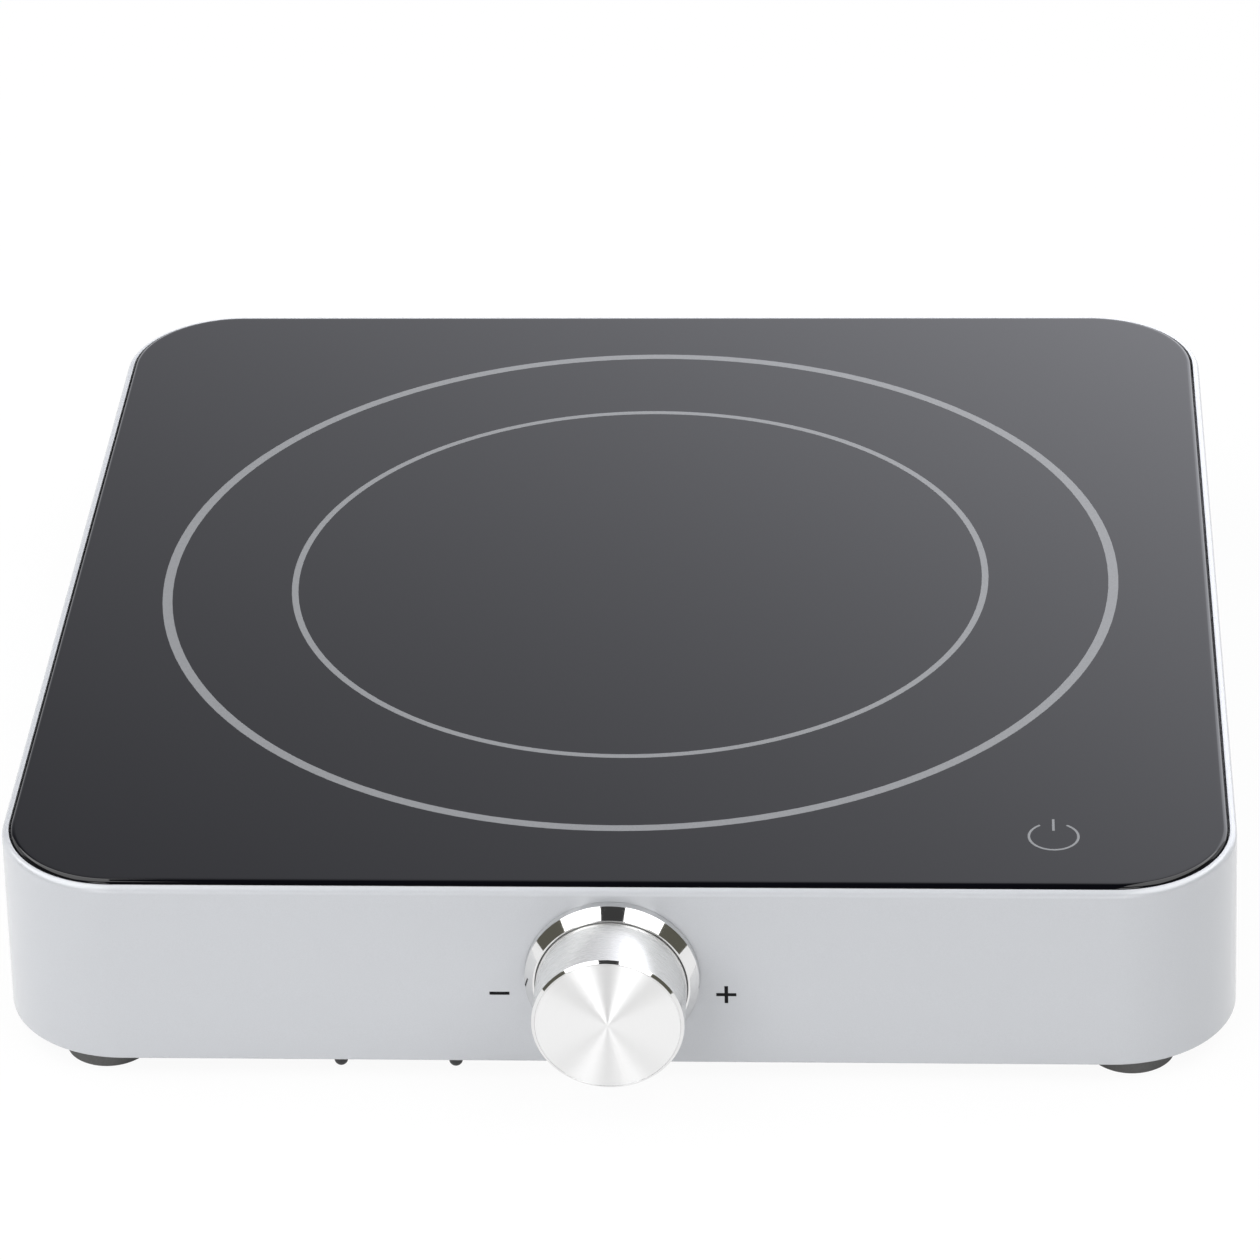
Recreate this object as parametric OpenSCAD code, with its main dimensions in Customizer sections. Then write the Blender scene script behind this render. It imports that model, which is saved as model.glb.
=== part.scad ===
// Portable single-zone induction cooktop: a flared metal-look housing with a flush glass top,
// one control knob at the front, and the coil, fan and boards that make it work inside.
// Millimetres, +Z up, the knob faces -Y. The origin is the middle of the bounding box's
// underside, on the surface that the feet stand on.

/* [Housing] */
// Width of the housing at its rim
body_w = 280; // [272:1:310]
// Depth of the housing at its rim
body_d = 280; // [276:1:310]
// Radius of the upright corners at the rim
corner_r = 28; // [26:1:36]
// Height of the side walls, bottom edge to rim
wall_h = 45.5; // [44:0.5:60]
// Thickness of the side walls
wall_t = 2.4; // [2:0.1:3]
// How far the walls flare outwards at their bottom edge
wall_flare = 1; // [0.2:0.1:2]
// Radius of the round-over along the rim
rim_round = 1.5; // [1.4:0.1:3.4]
// Width of the ledge that carries the glass
ledge_w = 8; // [7:0.5:9]
// Thickness of that ledge
ledge_t = 2; // [1.5:0.1:3]
// Radius of the screw bosses inside the walls
boss_r = 4; // [3.5:0.1:4.5]
// Distance of the screw bosses from the rim's outer face
boss_inset = 10.5; // [9.5:0.1:11]
// Distance of the front and rear pairs of bosses from the front and rear faces
boss_end = 40; // [38:1:50]
// Thickness of the rib that ties a boss to its wall
rib_t = 2.4; // [1.6:0.1:3]
// Clearance round a trim ring or flange in its flat seat
seat_gap = 0.15; // [0.05:0.05:0.3]

/* [Glass] */
// Thickness of the glass ceramic plate
glass_t = 4; // [3.5:0.1:5]
// How far the glass stands above the rim
glass_proud = 0.7; // [0.3:0.1:1.2]
// Distance from the glass edge to the housing's outer face
rim_w = 2; // [1.4:0.1:2.6]
// Open seam between the glass edge and the rim
seam_gap = 0.4; // [0.2:0.05:0.6]
// Radius of the polished pencil edge
glass_edge_r = 1.2; // [0.6:0.1:1.6]
// Thickness of the silicone bead under the glass
seal_t = 0.6; // [0.4:0.1:1]
// Width of the silicone bead
seal_w = 5; // [3:0.5:5.5]
// Distance from the glass edge to the bead
seal_inset = 1.5; // [1:0.1:2]

/* [Prints] */
// Depth of the printed lines, set flush in the surface
print_t = 0.25; // [0.15:0.05:0.5]
// Clearance between a print and its recess
print_gap = 0.02; // [0.01:0.01:0.05]
// Diameter of the outer cooking zone ring, at the middle of its line
outer_zone_d = 230; // [210:1:236]
// Line width of the outer zone ring
outer_zone_line = 2.4; // [1.6:0.1:3]
// Diameter of the inner cooking zone ring, at the middle of its line
inner_zone_d = 168; // [140:1:190]
// Line width of the inner zone ring
inner_zone_line = 1.6; // [1:0.1:2.4]
// Power mark: distance of its middle from the right edge of the glass
power_from_side = 39.3; // [34:0.1:48]
// Power mark: distance of its middle from the front edge of the glass
power_from_front = 20.4; // [17:0.1:24]
// Power mark: radius of the open ring
power_r = 5.55; // [4.5:0.05:7]
// Power mark: width of its lines
power_line = 0.56; // [0.4:0.02:0.9]
// Power mark: opening of the ring, in degrees
power_opening = 65; // [45:1:80]
// Power mark: length of the upright stroke
power_stroke = 4.8; // [4:0.1:5.4]
// Power mark: height of the stroke's end above the ring's middle
power_stroke_end = 7.2; // [6:0.1:8]
// Distance of the minus and plus marks from the knob's axis
mark_x = 25.5; // [23:0.5:32]
// How far the marks lie below the knob's axis
mark_drop = 4.6; // [0:0.1:6]
// Length of a mark's strokes
mark_len = 4.5; // [3.5:0.1:6]
// Width of a mark's strokes
mark_line = 0.8; // [0.4:0.05:0.9]

/* [Base and feet] */
// Thickness of the base cover
base_t = 2; // [1.6:0.1:2.6]
// Clearance between the base cover and the walls
base_gap = 0.3; // [0.2:0.05:0.5]
// Height of the feet under the housing
foot_h = 4.5; // [3:0.5:8]
// Radius of a foot where it meets the base
foot_r = 10.2; // [9:0.1:10.4]
// Radius of the flat that a foot stands on
foot_tread_r = 9.4; // [6:0.1:9.4]
// Distance of the feet from the housing's side faces
foot_inset_x = 23.4; // [23:0.1:26]
// Distance of the feet from the front and rear faces
foot_inset_y = 12; // [12:0.1:16]
// Radius of the stem that holds a foot in the base
foot_stem_r = 2.2; // [1.8:0.1:2.6]
// Radius of the barb above the base
foot_barb_r = 3.2; // [3:0.1:3.6]
// Height of the barb
foot_barb_h = 2; // [1.5:0.1:2.4]
// Width of the bevel round a foot's tread
foot_bevel_w = 0.6; // [0.4:0.1:1]
// Height of that bevel
foot_bevel_h = 0.5; // [0.3:0.1:1]
// Clearance of a stem in its hole
foot_fit = 0.1; // [0.05:0.05:0.2]
// Radius of the small pegs moulded under the front edge
peg_r = 1.6; // [1.2:0.1:2]
// Clearance between the pegs and the table
peg_clear = 0.3; // [0.2:0.1:2]
// Distance of the outer peg left of the housing's middle
peg_left = 62.7; // [50:0.1:80]
// Distance between the two pegs
peg_pitch = 26.2; // [16:0.1:36]
// Distance of the pegs from the front face
peg_inset = 3.8; // [3.6:0.1:6]
// Width of a slot in the air intake
slot_w = 3; // [2:0.1:3.6]
// Width of a bar between two intake slots
slot_bar = 2.6; // [2:0.1:4]
// Width of an outlet slot in the rear wall
vent_w = 3; // [2:0.1:3.6]
// Height of an outlet slot
vent_h = 20; // [12:1:24]
// Distance between outlet slots
vent_pitch = 8; // [6:0.5:10]
// Height of the outlet slots above the wall's bottom edge
vent_rise = 11; // [9:0.5:14]
// Number of outlet slots
vent_count = 20; // [10:1:22]
// Distance from the housing's middle to the middle of the row of outlets
vent_shift = 24; // [10:1:26]

/* [Screws] */
// Radius of a screw's shank
screw_r = 1.4; // [1.2:0.1:1.6]
// Radius of a screw's head
head_r = 2.8; // [2.4:0.1:3]
// Height of a screw's head
head_h = 1.4; // [1:0.1:1.6]
// Depth of the cross in a screw's head
cross_t = 0.7; // [0.4:0.1:0.8]
// Clearance round a screw's shank
screw_gap = 0.06; // [0.03:0.01:0.1]
// Depth of the hole in a boss or post for its screw
screw_bite = 7; // [5:0.5:9]
// Free depth left under a screw's end
screw_free = 1; // [0.5:0.5:1.5]
// How deep the holes for the board's and the clamp's screws go
board_bite = 5; // [4:0.5:5]

/* [Knob] */
// Height of the knob's axis above the wall's bottom edge
knob_rise = 23; // [22:0.5:24]
// Radius of the knob
knob_r = 17; // [15:0.5:17.5]
// Length of the knob
knob_len = 19.5; // [18:0.5:24]
// Chamfer round the knob's front
knob_chamfer = 0.6; // [0.3:0.1:1]
// Thickness of the knob's skirt
knob_wall = 2; // [1.6:0.1:2.4]
// Thickness of the web behind the knob's cap
knob_web = 3.2; // [2.4:0.1:3.6]
// Radius of the hub inside the knob
hub_r = 5; // [4.4:0.1:5.4]
// Thickness of the ribs between hub and skirt
knob_rib_t = 1.2; // [0.8:0.1:1.8]
// Length of those ribs
knob_rib_len = 3.5; // [2:0.5:5]
// Running gap behind the knob
knob_gap = 0.5; // [0.4:0.1:0.8]
// Width of the knob's plain edge round its cap
cap_edge = 0.8; // [0.7:0.1:1.5]
// Thickness of the knob's spun cap
cap_t = 0.8; // [0.5:0.1:1.2]
// Clearance round the cap
cap_gap = 0.02; // [0.01:0.01:0.05]
// Radius of the trim ring round the knob
trim_r = 19.7; // [19.5:0.1:20.5]
// Height of the trim ring's plain edge
trim_edge = 2; // [0.8:0.1:2.4]
// Height of the trim ring's chamfer
trim_rise = 2.6; // [2:0.1:3.6]
// Width of the trim ring's flat lip
trim_lip = 0.2; // [0.1:0.05:0.4]
// Running gap between knob and trim ring
trim_gap = 0.4; // [0.3:0.05:0.6]
// Depth of the flat seat for the trim ring, at the rim's height
seat_depth = 0.1; // [0:0.05:0.4]
// Width of the hub's spring clip
clip_w = 4; // [2.5:0.5:4.5]
// Thickness of the spring clip
clip_t = 0.8; // [0.5:0.1:1]
// Distance of the clip from the hub's rear end
clip_in = 1.1; // [0.5:0.1:2]
// Opening of the clip's ring, in degrees
clip_opening = 60; // [40:5:90]
// Clearance between the hub and the encoder's neck
hub_gap = 0.9; // [0.5:0.1:1.5]
// Clearance between hub and shaft, and between hub and clip
hub_fit = 0.02; // [0.01:0.01:0.04]
// Clearance in front of the shaft's end
shaft_end_gap = 0.3; // [0.1:0.1:0.8]

/* [Encoder] */
// Width and height of the encoder's case
encoder_w = 13; // [12:0.5:15]
// Depth of the encoder's case
encoder_t = 6.5; // [5.5:0.5:8]
// Radius of the encoder's threaded neck
neck_r = 3.5; // [3.4:0.1:3.8]
// How far the neck stands out of the nut
neck_out = 0.9; // [0.5:0.1:1.2]
// Radius of the encoder's shaft
shaft_r = 3; // [2.8:0.1:3]
// Running clearance of the shaft
shaft_gap = 0.06; // [0.04:0.01:0.09]
// How far the shaft reaches in front of the trim ring's seat
shaft_len = 15; // [12:0.5:15]
// Thickness of the back of the encoder's case
encoder_back = 1.4; // [1:0.1:1.8]
// Width across the corners of the encoder's nut
nut_d = 11.5; // [10.5:0.5:12.5]
// Thickness of the nut
nut_t = 2.2; // [1.6:0.1:2.4]
// Clearance round the neck
neck_gap = 0.05; // [0.02:0.01:0.1]
// Radius of the boss behind the knob
knob_boss_r = 11; // [10:0.5:12]
// Depth of that boss, from the rim's outer face
knob_boss_depth = 6.5; // [5.5:0.5:7]
// Clearance behind the shaft's end
shaft_back_gap = 0.1; // [0.05:0.05:0.3]

/* [Coil] */
// Radius of the coil's innermost turn
coil_in_r = 25; // [24.5:0.5:28]
// Number of turns
coil_turns = 18; // [14:1:18]
// Distance between turns
coil_pitch = 3.6; // [3.4:0.05:3.65]
// Radius of the stranded wire
wire_r = 1.6; // [1.4:0.05:1.65]
// Thickness of the mica sheet under the glass
mica_t = 0.4; // [0.2:0.1:0.8]
// How far the mica reaches past the coil
mica_edge = 6; // [3:0.5:8]
// Thickness of the coil carrier's plate
carrier_t = 2; // [1.6:0.1:2.6]
// How far the carrier's plate reaches past the coil
carrier_edge = 3; // [2.5:0.5:4]
// Play above and below the coil
coil_play = 0.08; // [0.05:0.01:0.15]
// Distance from the plate's edge to a carrier screw
lug_reach = 6.5; // [6:0.5:8]
// Radius of a carrier lug
lug_r = 5; // [4.5:0.5:6]
// Radius of the hole for the temperature sensor
sensor_r = 6; // [5:0.5:7]
// Clearance round the sensor
sensor_gap = 0.2; // [0.1:0.05:0.3]
// Width of the sensor's flange
sensor_flange = 2; // [1.5:0.1:3]
// Thickness of the sensor's flange
sensor_flange_t = 1.5; // [1:0.1:2]
// Number of ferrite bars
ferrite_count = 6; // [4:2:6]
// Length of a ferrite bar
ferrite_len = 56; // [40:1:58]
// Width of a ferrite bar
ferrite_w = 14; // [10:0.5:15]
// Thickness of a ferrite bar
ferrite_t = 5; // [4:0.5:5.5]
// Distance of the ferrite bars from the innermost turn
ferrite_in = 2; // [1:0.5:4]
// Opening of a window in the carrier, in degrees
window_angle = 28; // [20:1:32]
// Turns that the carrier covers inside and outside its windows
window_turns = 3; // [2:1:4]
// Clearance round the lead where it passes through the carrier
lead_hole_gap = 0.8; // [0.5:0.1:1]
// Distance of the inner lead from the innermost turn
lead_in_gap = 0.4; // [0.2:0.1:0.5]
// Distance of the outer lead's start from the last turn
lead_out_gap = 0.6; // [0.4:0.1:1]
// Clearance between the leads' upright runs and the carrier
lead_side_gap = 2; // [1:0.5:3]
// Bend radius of the coil's leads
lead_bend = 3; // [2.5:0.1:3.4]
// Distance between the two leads
lead_pitch = 14; // [12:0.5:16]
// Distance of the lead's middle below the ferrite bars
lead_drop = 1.6; // [1.6:0.1:2.4]
// Height of a lead's terminal on the power board
terminal_h = 8; // [6:0.5:10]
// Radius of a terminal
terminal_r = 3; // [2.4:0.1:3.4]
// Height of a terminal's base
terminal_base_h = 2; // [1:0.5:3]
// Width of the base round a terminal
terminal_base_edge = 1.4; // [1:0.1:2]

/* [Fan] */
// Width of the square fan frame
fan_w = 80; // [76:1:82]
// Height of the fan frame
fan_h = 20; // [18:0.5:22]
// Distance of the fan's axis left of the housing's middle
fan_left = 62; // [60:0.5:64]
// Distance of the fan's axis behind the housing's middle
fan_back = 54; // [52:0.5:56]
// Height of the fan above the base
fan_lift = 1.5; // [1:0.1:3]
// Thickness of the frame's wall at its thinnest
fan_wall = 2; // [1.5:0.1:2.5]
// Gap between the blades' tips and the frame
tip_gap = 1; // [0.6:0.1:1.6]
// Radius of the fan's hub
fan_hub_r = 16; // [14:0.5:18]
// Wall of the hub's cup
cup_t = 1.6; // [1.2:0.1:2]
// Gap between the turning hub and what stands still
fan_gap = 0.8; // [0.5:0.1:1.2]
// Number of blades
blade_count = 7; // [5:1:9]
// Width of a blade
blade_w = 17; // [12:0.5:18]
// Thickness of a blade
blade_t = 1.2; // [1:0.1:1.6]
// Pitch of the blades, in degrees
blade_pitch = 38; // [25:1:42]
// Thickness of the struts and of the motor plate
strut_t = 2; // [1.5:0.1:2.5]
// Width of a strut
strut_w = 4; // [3:0.5:6]
// Radius of the fan's shaft
pin_r = 1.5; // [1.2:0.1:1.8]
// Running clearance of the fan's shaft
pin_gap = 0.06; // [0.04:0.01:0.09]
// Distance of the frame's screws from its edges
fan_screw_inset = 4.2; // [4:0.1:4.6]
// Thickness of the air baffle
baffle_t = 1.5; // [1.2:0.1:2]
// Gap between baffle and fan
baffle_gap = 0.5; // [0.3:0.1:0.8]
// How far the baffle reaches past the fan towards the heat sink
baffle_reach = 12; // [6:0.5:14]
// Clearance between the baffle and the ferrite bars
baffle_top_gap = 2; // [1:0.5:4]
// Radius of the fan frame's corners
fan_corner_r = 4; // [2:0.5:4]
// Width of the fan's flat lead
fan_lead_w = 5; // [3:0.5:6]
// Thickness of that lead
fan_lead_t = 1.6; // [1:0.1:2]
// Distance of the lead right of the fan's axis
fan_lead_x = 30; // [20:1:32]

/* [Power board] */
// Thickness of every circuit board
board_t = 1.6; // [1.2:0.1:2]
// Clearance between the board and the coil carrier's posts
board_gap = 1; // [0.5:0.1:1.5]
// Height of the board's posts
post_h = 5; // [4:0.5:6]
// Radius of a board's post
post_r = 3; // [2.6:0.1:3.4]
// Distance of the posts from the board's edges
post_inset = 5; // [4:0.5:5.5]
// Distance of the outer parts from the board's front, left and right edges
edge_gap = 9; // [8:0.5:10]
// Distance of the heat sink from the board's rear edge
sink_rear = 16; // [12:0.5:18]
// Clearance between neighbouring parts
part_gap = 4; // [3:0.5:5]
// Width of the heat sink
sink_w = 54; // [50:1:56]
// Depth of the heat sink
sink_d = 44; // [40:1:46]
// Thickness of the heat sink's plate
sink_t = 4; // [3:0.5:5]
// Thickness of the heat sink's end walls
sink_leg_t = 2; // [1.5:0.5:3]
// Height of the fins
fin_h = 9; // [6:0.5:9.5]
// Thickness of a fin
fin_t = 1.4; // [1:0.1:1.8]
// Number of fins
fin_count = 10; // [6:1:11]
// Thickness of the transistor and of the rectifier
chip_t = 5; // [4:0.5:5.5]
// Clearance beside the transistor and the rectifier
chip_gap = 3; // [2:0.5:4]
// Distance of both from the heat sink's front edge
chip_front = 12; // [8:0.5:14]
// Width of the transistor
transistor_w = 16; // [14:0.5:18]
// Depth of the transistor
transistor_d = 21; // [18:0.5:24]
// Width of the bridge rectifier
rectifier_w = 20; // [16:0.5:22]
// Depth of the bridge rectifier
rectifier_d = 18; // [14:0.5:22]
// Width of a pin
chip_pin_w = 1.2; // [0.8:0.1:1.6]
// Thickness of a pin
chip_pin_t = 1; // [0.6:0.1:1.4]
// Length of a pin
chip_pin_len = 4; // [3:0.5:6]

/* [Capacitors and chokes] */
// Height of the film capacitors
film_h = 18; // [14:0.5:19]
// Radius of a film capacitor's upright edges
film_round = 1.5; // [0.5:0.1:2]
// Width of the resonant capacitor
resonant_w = 32; // [28:1:34]
// Depth of the resonant capacitor
resonant_d = 18; // [14:1:20]
// Width of the filter capacitor
filter_w = 34; // [28:1:36]
// Depth of the filter capacitor
filter_d = 20; // [14:1:22]
// Width of the line capacitor
line_w = 10; // [8:0.5:12]
// Depth of the line capacitor
line_d = 24; // [18:1:26]
// Height of the line capacitor
line_h = 16; // [12:0.5:18]
// Radius of the line choke, to the middle of its winding
line_choke_r = 9; // [7:0.5:10]
// Radius of the line choke's winding
line_choke_tube = 4.5; // [3:0.1:5]
// Radius of the filter choke, to the middle of its winding
filter_choke_r = 11; // [9:0.5:12]
// Radius of the filter choke's winding
filter_choke_tube = 5.5; // [4:0.1:6]
// Radius of an electrolytic capacitor
can_r = 5; // [4:0.5:5]
// Height of an electrolytic capacitor
can_h = 12; // [10:0.5:16]
// Width of the bead round its foot
can_bead = 0.3; // [0.2:0.1:0.5]
// Height of that bead
can_bead_h = 1; // [0.5:0.5:2]
// Distance between the electrolytic capacitors
can_pitch = 12; // [11:0.5:13]
// Number of electrolytic capacitors
can_count = 3; // [2:1:3]

/* [Transformer, fuse and mains terminals] */
// Width of the standby transformer
transformer_w = 18; // [16:0.5:20]
// Depth of the standby transformer
transformer_d = 16; // [14:0.5:18]
// Height of the standby transformer
transformer_h = 13; // [11:0.5:15]
// Thickness of its base
transformer_base = 2; // [1:0.5:3]
// How far its base stands out round the winding
transformer_edge = 1; // [0.5:0.5:2]
// Height and depth of its core
core_h = 8; // [6:0.5:8]
// Length of the fuse
fuse_len = 20; // [18:0.5:22]
// Radius of the fuse
fuse_r = 2.6; // [2.4:0.1:3]
// Height of the fuse's axis above the board
fuse_rise = 4; // [3.5:0.1:5]
// Width of a fuse clip
fuse_clip_w = 4; // [3:0.5:5]
// Depth of a fuse clip
fuse_clip_d = 5; // [3:0.5:6]
// Height of a fuse clip
fuse_clip_h = 3; // [2:0.5:4]
// Width of the mains terminal block
block_w = 27; // [24:0.5:30]
// Depth of the terminal block
block_d = 11; // [9:0.5:12]
// Height of the terminal block
block_h = 12; // [10:0.5:14]
// Distance of the terminal block from the board's rear edge
block_rear = 3; // [2:0.5:4]
// Radius of the wells for its screws
well_r = 2.6; // [2:0.1:3]
// Depth of those wells
well_depth = 4; // [2:0.5:6]
// Number of wells
well_count = 3; // [2:1:3]

/* [Control boards] */
// Width of the control board
control_w = 90; // [84:1:100]
// Height of the control board
control_h = 30; // [26:1:31]
// Gap between the control board and the base
control_lift = 3; // [2:0.5:4]
// Width of the posts that hold the control board
clip_post_w = 6; // [5:0.5:8]
// Height of those posts
clip_post_h = 18; // [12:1:24]
// Distance of those posts from the middle
clip_post_x = 38; // [34:1:40]
// Clearance of the board in its posts
clip_gap = 0.1; // [0.05:0.05:0.2]
// Width and height of the control chip
control_chip_w = 10; // [8:0.5:12]
// Thickness of the control chip
control_chip_t = 1.4; // [1:0.1:2]
// Distance of the control chip's middle left of the encoder
control_chip_x = 20; // [16:1:26]
// Radius of the buzzer
buzzer_r = 6; // [5:0.5:6.5]
// Depth of the buzzer
buzzer_t = 5; // [4:0.5:7]
// Radius of the buzzer's sound hole
buzzer_hole_r = 1; // [0.5:0.1:2]
// Distance of the buzzer's middle right of the encoder
buzzer_x = 22; // [18:1:26]
// Width of the ribbon cable
ribbon_w = 12; // [8:1:13]
// Thickness of the ribbon cable
ribbon_t = 1; // [0.8:0.1:1.4]
// Depth and height of the ribbon's plug on the power board
ribbon_plug = 5; // [4:0.5:6]
// Distance of the ribbon's plug from the board's left edge
ribbon_left = 12; // [11:0.5:16]
// Run of the ribbon on the floor before it climbs to the control board
ribbon_rise_run = 17; // [12:0.5:20]
// Width of the touch board
touch_w = 30; // [26:1:32]
// Depth of the touch board
touch_d = 22; // [20:1:24]
// Height of the touch spring
spring_h = 8; // [6:0.5:9]
// Radius of the touch spring
spring_r = 4; // [3:0.5:5]
// Radius of the spring's wire
spring_wire_r = 0.4; // [0.35:0.05:0.5]
// Turns of the touch spring
spring_turns = 6; // [5:1:8]
// Distance of the touch board's posts behind the power mark
touch_post_back = 5.5; // [4:0.5:7]
// Width of the touch cable
touch_cable_w = 6; // [4:0.5:7]
// Thickness of the touch cable
touch_cable_t = 1; // [0.6:0.1:1.4]
// How far the touch cable reaches under the touch board and on to the control board
touch_cable_lap = 5; // [4:0.5:7]

/* [Cord inlet] */
// Distance of the cord gland from the housing's right face
gland_inset = 40; // [38:1:46]
// Height of the gland above the wall's bottom edge
gland_rise = 20; // [18:0.5:22]
// Radius of the hole for the cord
gland_bore_r = 3.6; // [3:0.1:4]
// Radius of the gland's neck
gland_neck_r = 6.4; // [6:0.1:7]
// Radius of the gland's flange
gland_flange_r = 9; // [8.5:0.1:9.6]
// Thickness of the gland's flange
gland_flange_t = 2.4; // [2:0.1:2.6]
// Depth of the flat seat for the flange
gland_seat = 2; // [1.8:0.1:2.4]
// Width across the corners of the gland's nut
gland_nut_d = 19; // [18:0.5:21]
// Thickness of the gland's nut
gland_nut_t = 4; // [3:0.5:5]
// Depth of the boss behind the gland, from the rim's outer face
gland_boss_depth = 7; // [6:0.5:8]
// How far the gland's neck stands out of its nut
gland_neck_out = 1; // [0.5:0.1:2]
// Distance between the cord clamp's screws
clamp_pitch = 18; // [16:0.5:20]
// Distance of the clamp behind the gland's boss
clamp_back = 16; // [12:0.5:18]
// Height of the clamp's posts
clamp_h = 7; // [6:0.5:9]
// Thickness of the clamp's bar
clamp_t = 2.5; // [2:0.1:3.5]
// Width of the clamp's bar
clamp_w = 8; // [7:0.5:10]

/* [Hidden] */
$fn = 48;
// A hair of overlap inside a union, and how far a cutting shape reaches past a face
eps = 0.01;
cut = 1;

// Heights, from the table up
z_bot = foot_h;
z_floor = z_bot + base_t;
z_rim = z_bot + wall_h;
z_top = z_rim + glass_proud;
z_glass = z_top - glass_t;
z_ledge = z_glass - seal_t;
z_wire = z_glass - mica_t - coil_play - wire_r;
z_plate = z_wire - wire_r - coil_play;
z_carrier = z_plate - carrier_t;
z_ferrite = z_carrier - ferrite_t;
z_lead = z_ferrite - lead_drop;
z_board = z_floor + post_h;
z_parts = z_board + board_t;
z_fan = z_floor + fan_lift;
z_fan_top = z_fan + fan_h;
z_touch = z_glass - spring_h - board_t;
z_control = z_floor + control_lift;
z_knob = z_bot + knob_rise;
z_gland = z_bot + gland_rise;

// The wall's slope and its bottom outline
slope_h = wall_h - rim_round;
slope = atan(wall_flare / slope_h);
foot_w = body_w + 2 * wall_flare;
foot_d = body_d + 2 * wall_flare;
base_w = foot_w - 2 * (wall_t + base_gap);
base_d = foot_d - 2 * (wall_t + base_gap);
base_r = corner_r + wall_flare - wall_t - base_gap;
glass_w = body_w - 2 * rim_w;
glass_d = body_d - 2 * rim_w;
glass_r = corner_r - rim_w;
screw_spots = [for (sx = [-1, 1], sy = [-1, 0, 1])
    [sx * (body_w / 2 - boss_inset), sy * (body_d / 2 - boss_end)]];
foot_x = body_w / 2 - foot_inset_x;
foot_y = body_d / 2 - foot_inset_y;

// The knob's seat, and the shift that puts the bounding box's middle on the Y axis
seat_y = -body_d / 2 + seat_depth;
boss_y = -body_d / 2 + knob_boss_depth;
knob_front_y = seat_y - knob_gap - knob_len;
y_shift = -(foot_d / 2 + knob_front_y) / 2;
control_y = boss_y + encoder_t;
trim_bore_r = knob_r + trim_gap;
cap_r = knob_r - cap_edge;
gland_y = body_d / 2 - gland_seat;
gland_boss_y = body_d / 2 - gland_boss_depth;
gland_x = body_w / 2 - gland_inset;
clamp_y = gland_boss_y - clamp_back;
clamp_spots = [for (sx = [-1, 1]) [gland_x + sx * clamp_pitch / 2, clamp_y]];
control_back = control_y + board_t;

// Coil and fan
coil_out_r = coil_in_r + (coil_turns - 1) * coil_pitch;
carrier_r = coil_out_r + wire_r + carrier_edge;
lug_at = carrier_r + lug_reach;
lug_angles = [90, 210, 330];
fan_x = -fan_left;
fan_y = fan_back;
fan_bore_r = fan_w / 2 - fan_wall;
tip_r = fan_bore_r - tip_gap;
z_motor = z_fan_top - strut_t;
z_cup = z_fan + fan_gap;
stator_r = fan_hub_r - cup_t - fan_gap;
lead_x = carrier_r + lead_bend + wire_r + lead_side_gap;
lead_hole_x = coil_in_r - lead_bend - wire_r - lead_in_gap;
power_x = glass_w / 2 - power_from_side;
power_y = -glass_d / 2 + power_from_front;

// The power board's place beside the carrier's posts, and its parts in rows from front to rear
board_x0 = lug_r + board_gap;
board_y0 = lug_r + board_gap - lug_at * sin(30);
can_row = edge_gap + transformer_d + part_gap + can_r + can_bead;
line_choke_row = can_row + can_r + can_bead + part_gap + line_choke_r + line_choke_tube;
filter_choke_row = edge_gap + filter_d + part_gap + filter_choke_r + filter_choke_tube;
sink_row = part_gap + max(line_choke_row + line_choke_r + line_choke_tube,
    filter_choke_row + filter_choke_r + filter_choke_tube);
board_d = sink_row + sink_d + sink_rear;
board_w = 2 * edge_gap + sink_w + part_gap + resonant_w;
block_row = board_d - block_rear - block_d;
resonant_row = block_row - part_gap - resonant_d;
fuse_row = resonant_row - part_gap - fuse_len;
filter_choke_col = edge_gap + 2 * (line_choke_r + line_choke_tube) + part_gap
    + filter_choke_r + filter_choke_tube;
filter_col = edge_gap + transformer_w + 3 * part_gap;
board_posts = [for (px = [board_x0 + post_inset, board_x0 + board_w - post_inset],
    py = [board_y0 + post_inset, board_y0 + board_d - post_inset]) [px, py]];
fan_posts = [for (sx = [-1, 1], sy = [-1, 1])
    [fan_x + sx * (fan_w / 2 - fan_screw_inset), fan_y + sy * (fan_w / 2 - fan_screw_inset)]];
touch_posts = [for (sx = [-1, 1]) [power_x + sx * (touch_w / 2 - post_inset), power_y + touch_post_back]];

// ---- Shared shapes ----

// Puts the housing's middle in its place behind the origin
module home() {
    translate([0, y_shift, 0]) children();
}

// A rectangle with round corners
module rounded_rect(w, d, r) {
    square([w - 2 * r, d], center = true);
    square([w, d - 2 * r], center = true);
    for (sx = [-1, 1], sy = [-1, 1])
        translate([sx * (w / 2 - r), sy * (d / 2 - r)]) circle(r);
}

module rounded_block(w, d, r, h) {
    linear_extrude(h) rounded_rect(w, d, r);
}

// Carries a profile round a rounded rectangle; x is measured outwards from the outline
module edge_sweep(w, d, r) {
    for (mx = [0, 1], my = [0, 1])
        mirror([mx, 0, 0]) mirror([0, my, 0])
            translate([w / 2 - r, d / 2 - r, 0])
                rotate_extrude(angle = 90) translate([r, 0]) children();
    for (mx = [0, 1])
        mirror([mx, 0, 0]) rotate([90, 0, 0])
            linear_extrude(d - 2 * r, center = true) translate([w / 2, 0]) children();
    for (my = [0, 1])
        mirror([0, my, 0]) rotate([90, 0, 90])
            linear_extrude(w - 2 * r, center = true) translate([d / 2, 0]) children();
}

module ring(r_out, r_in, h) {
    difference() {
        cylinder(h = h, r = r_out, $fn = 96);
        translate([0, 0, -eps]) cylinder(h = h + 2 * eps, r = r_in, $fn = 96);
    }
}

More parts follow.
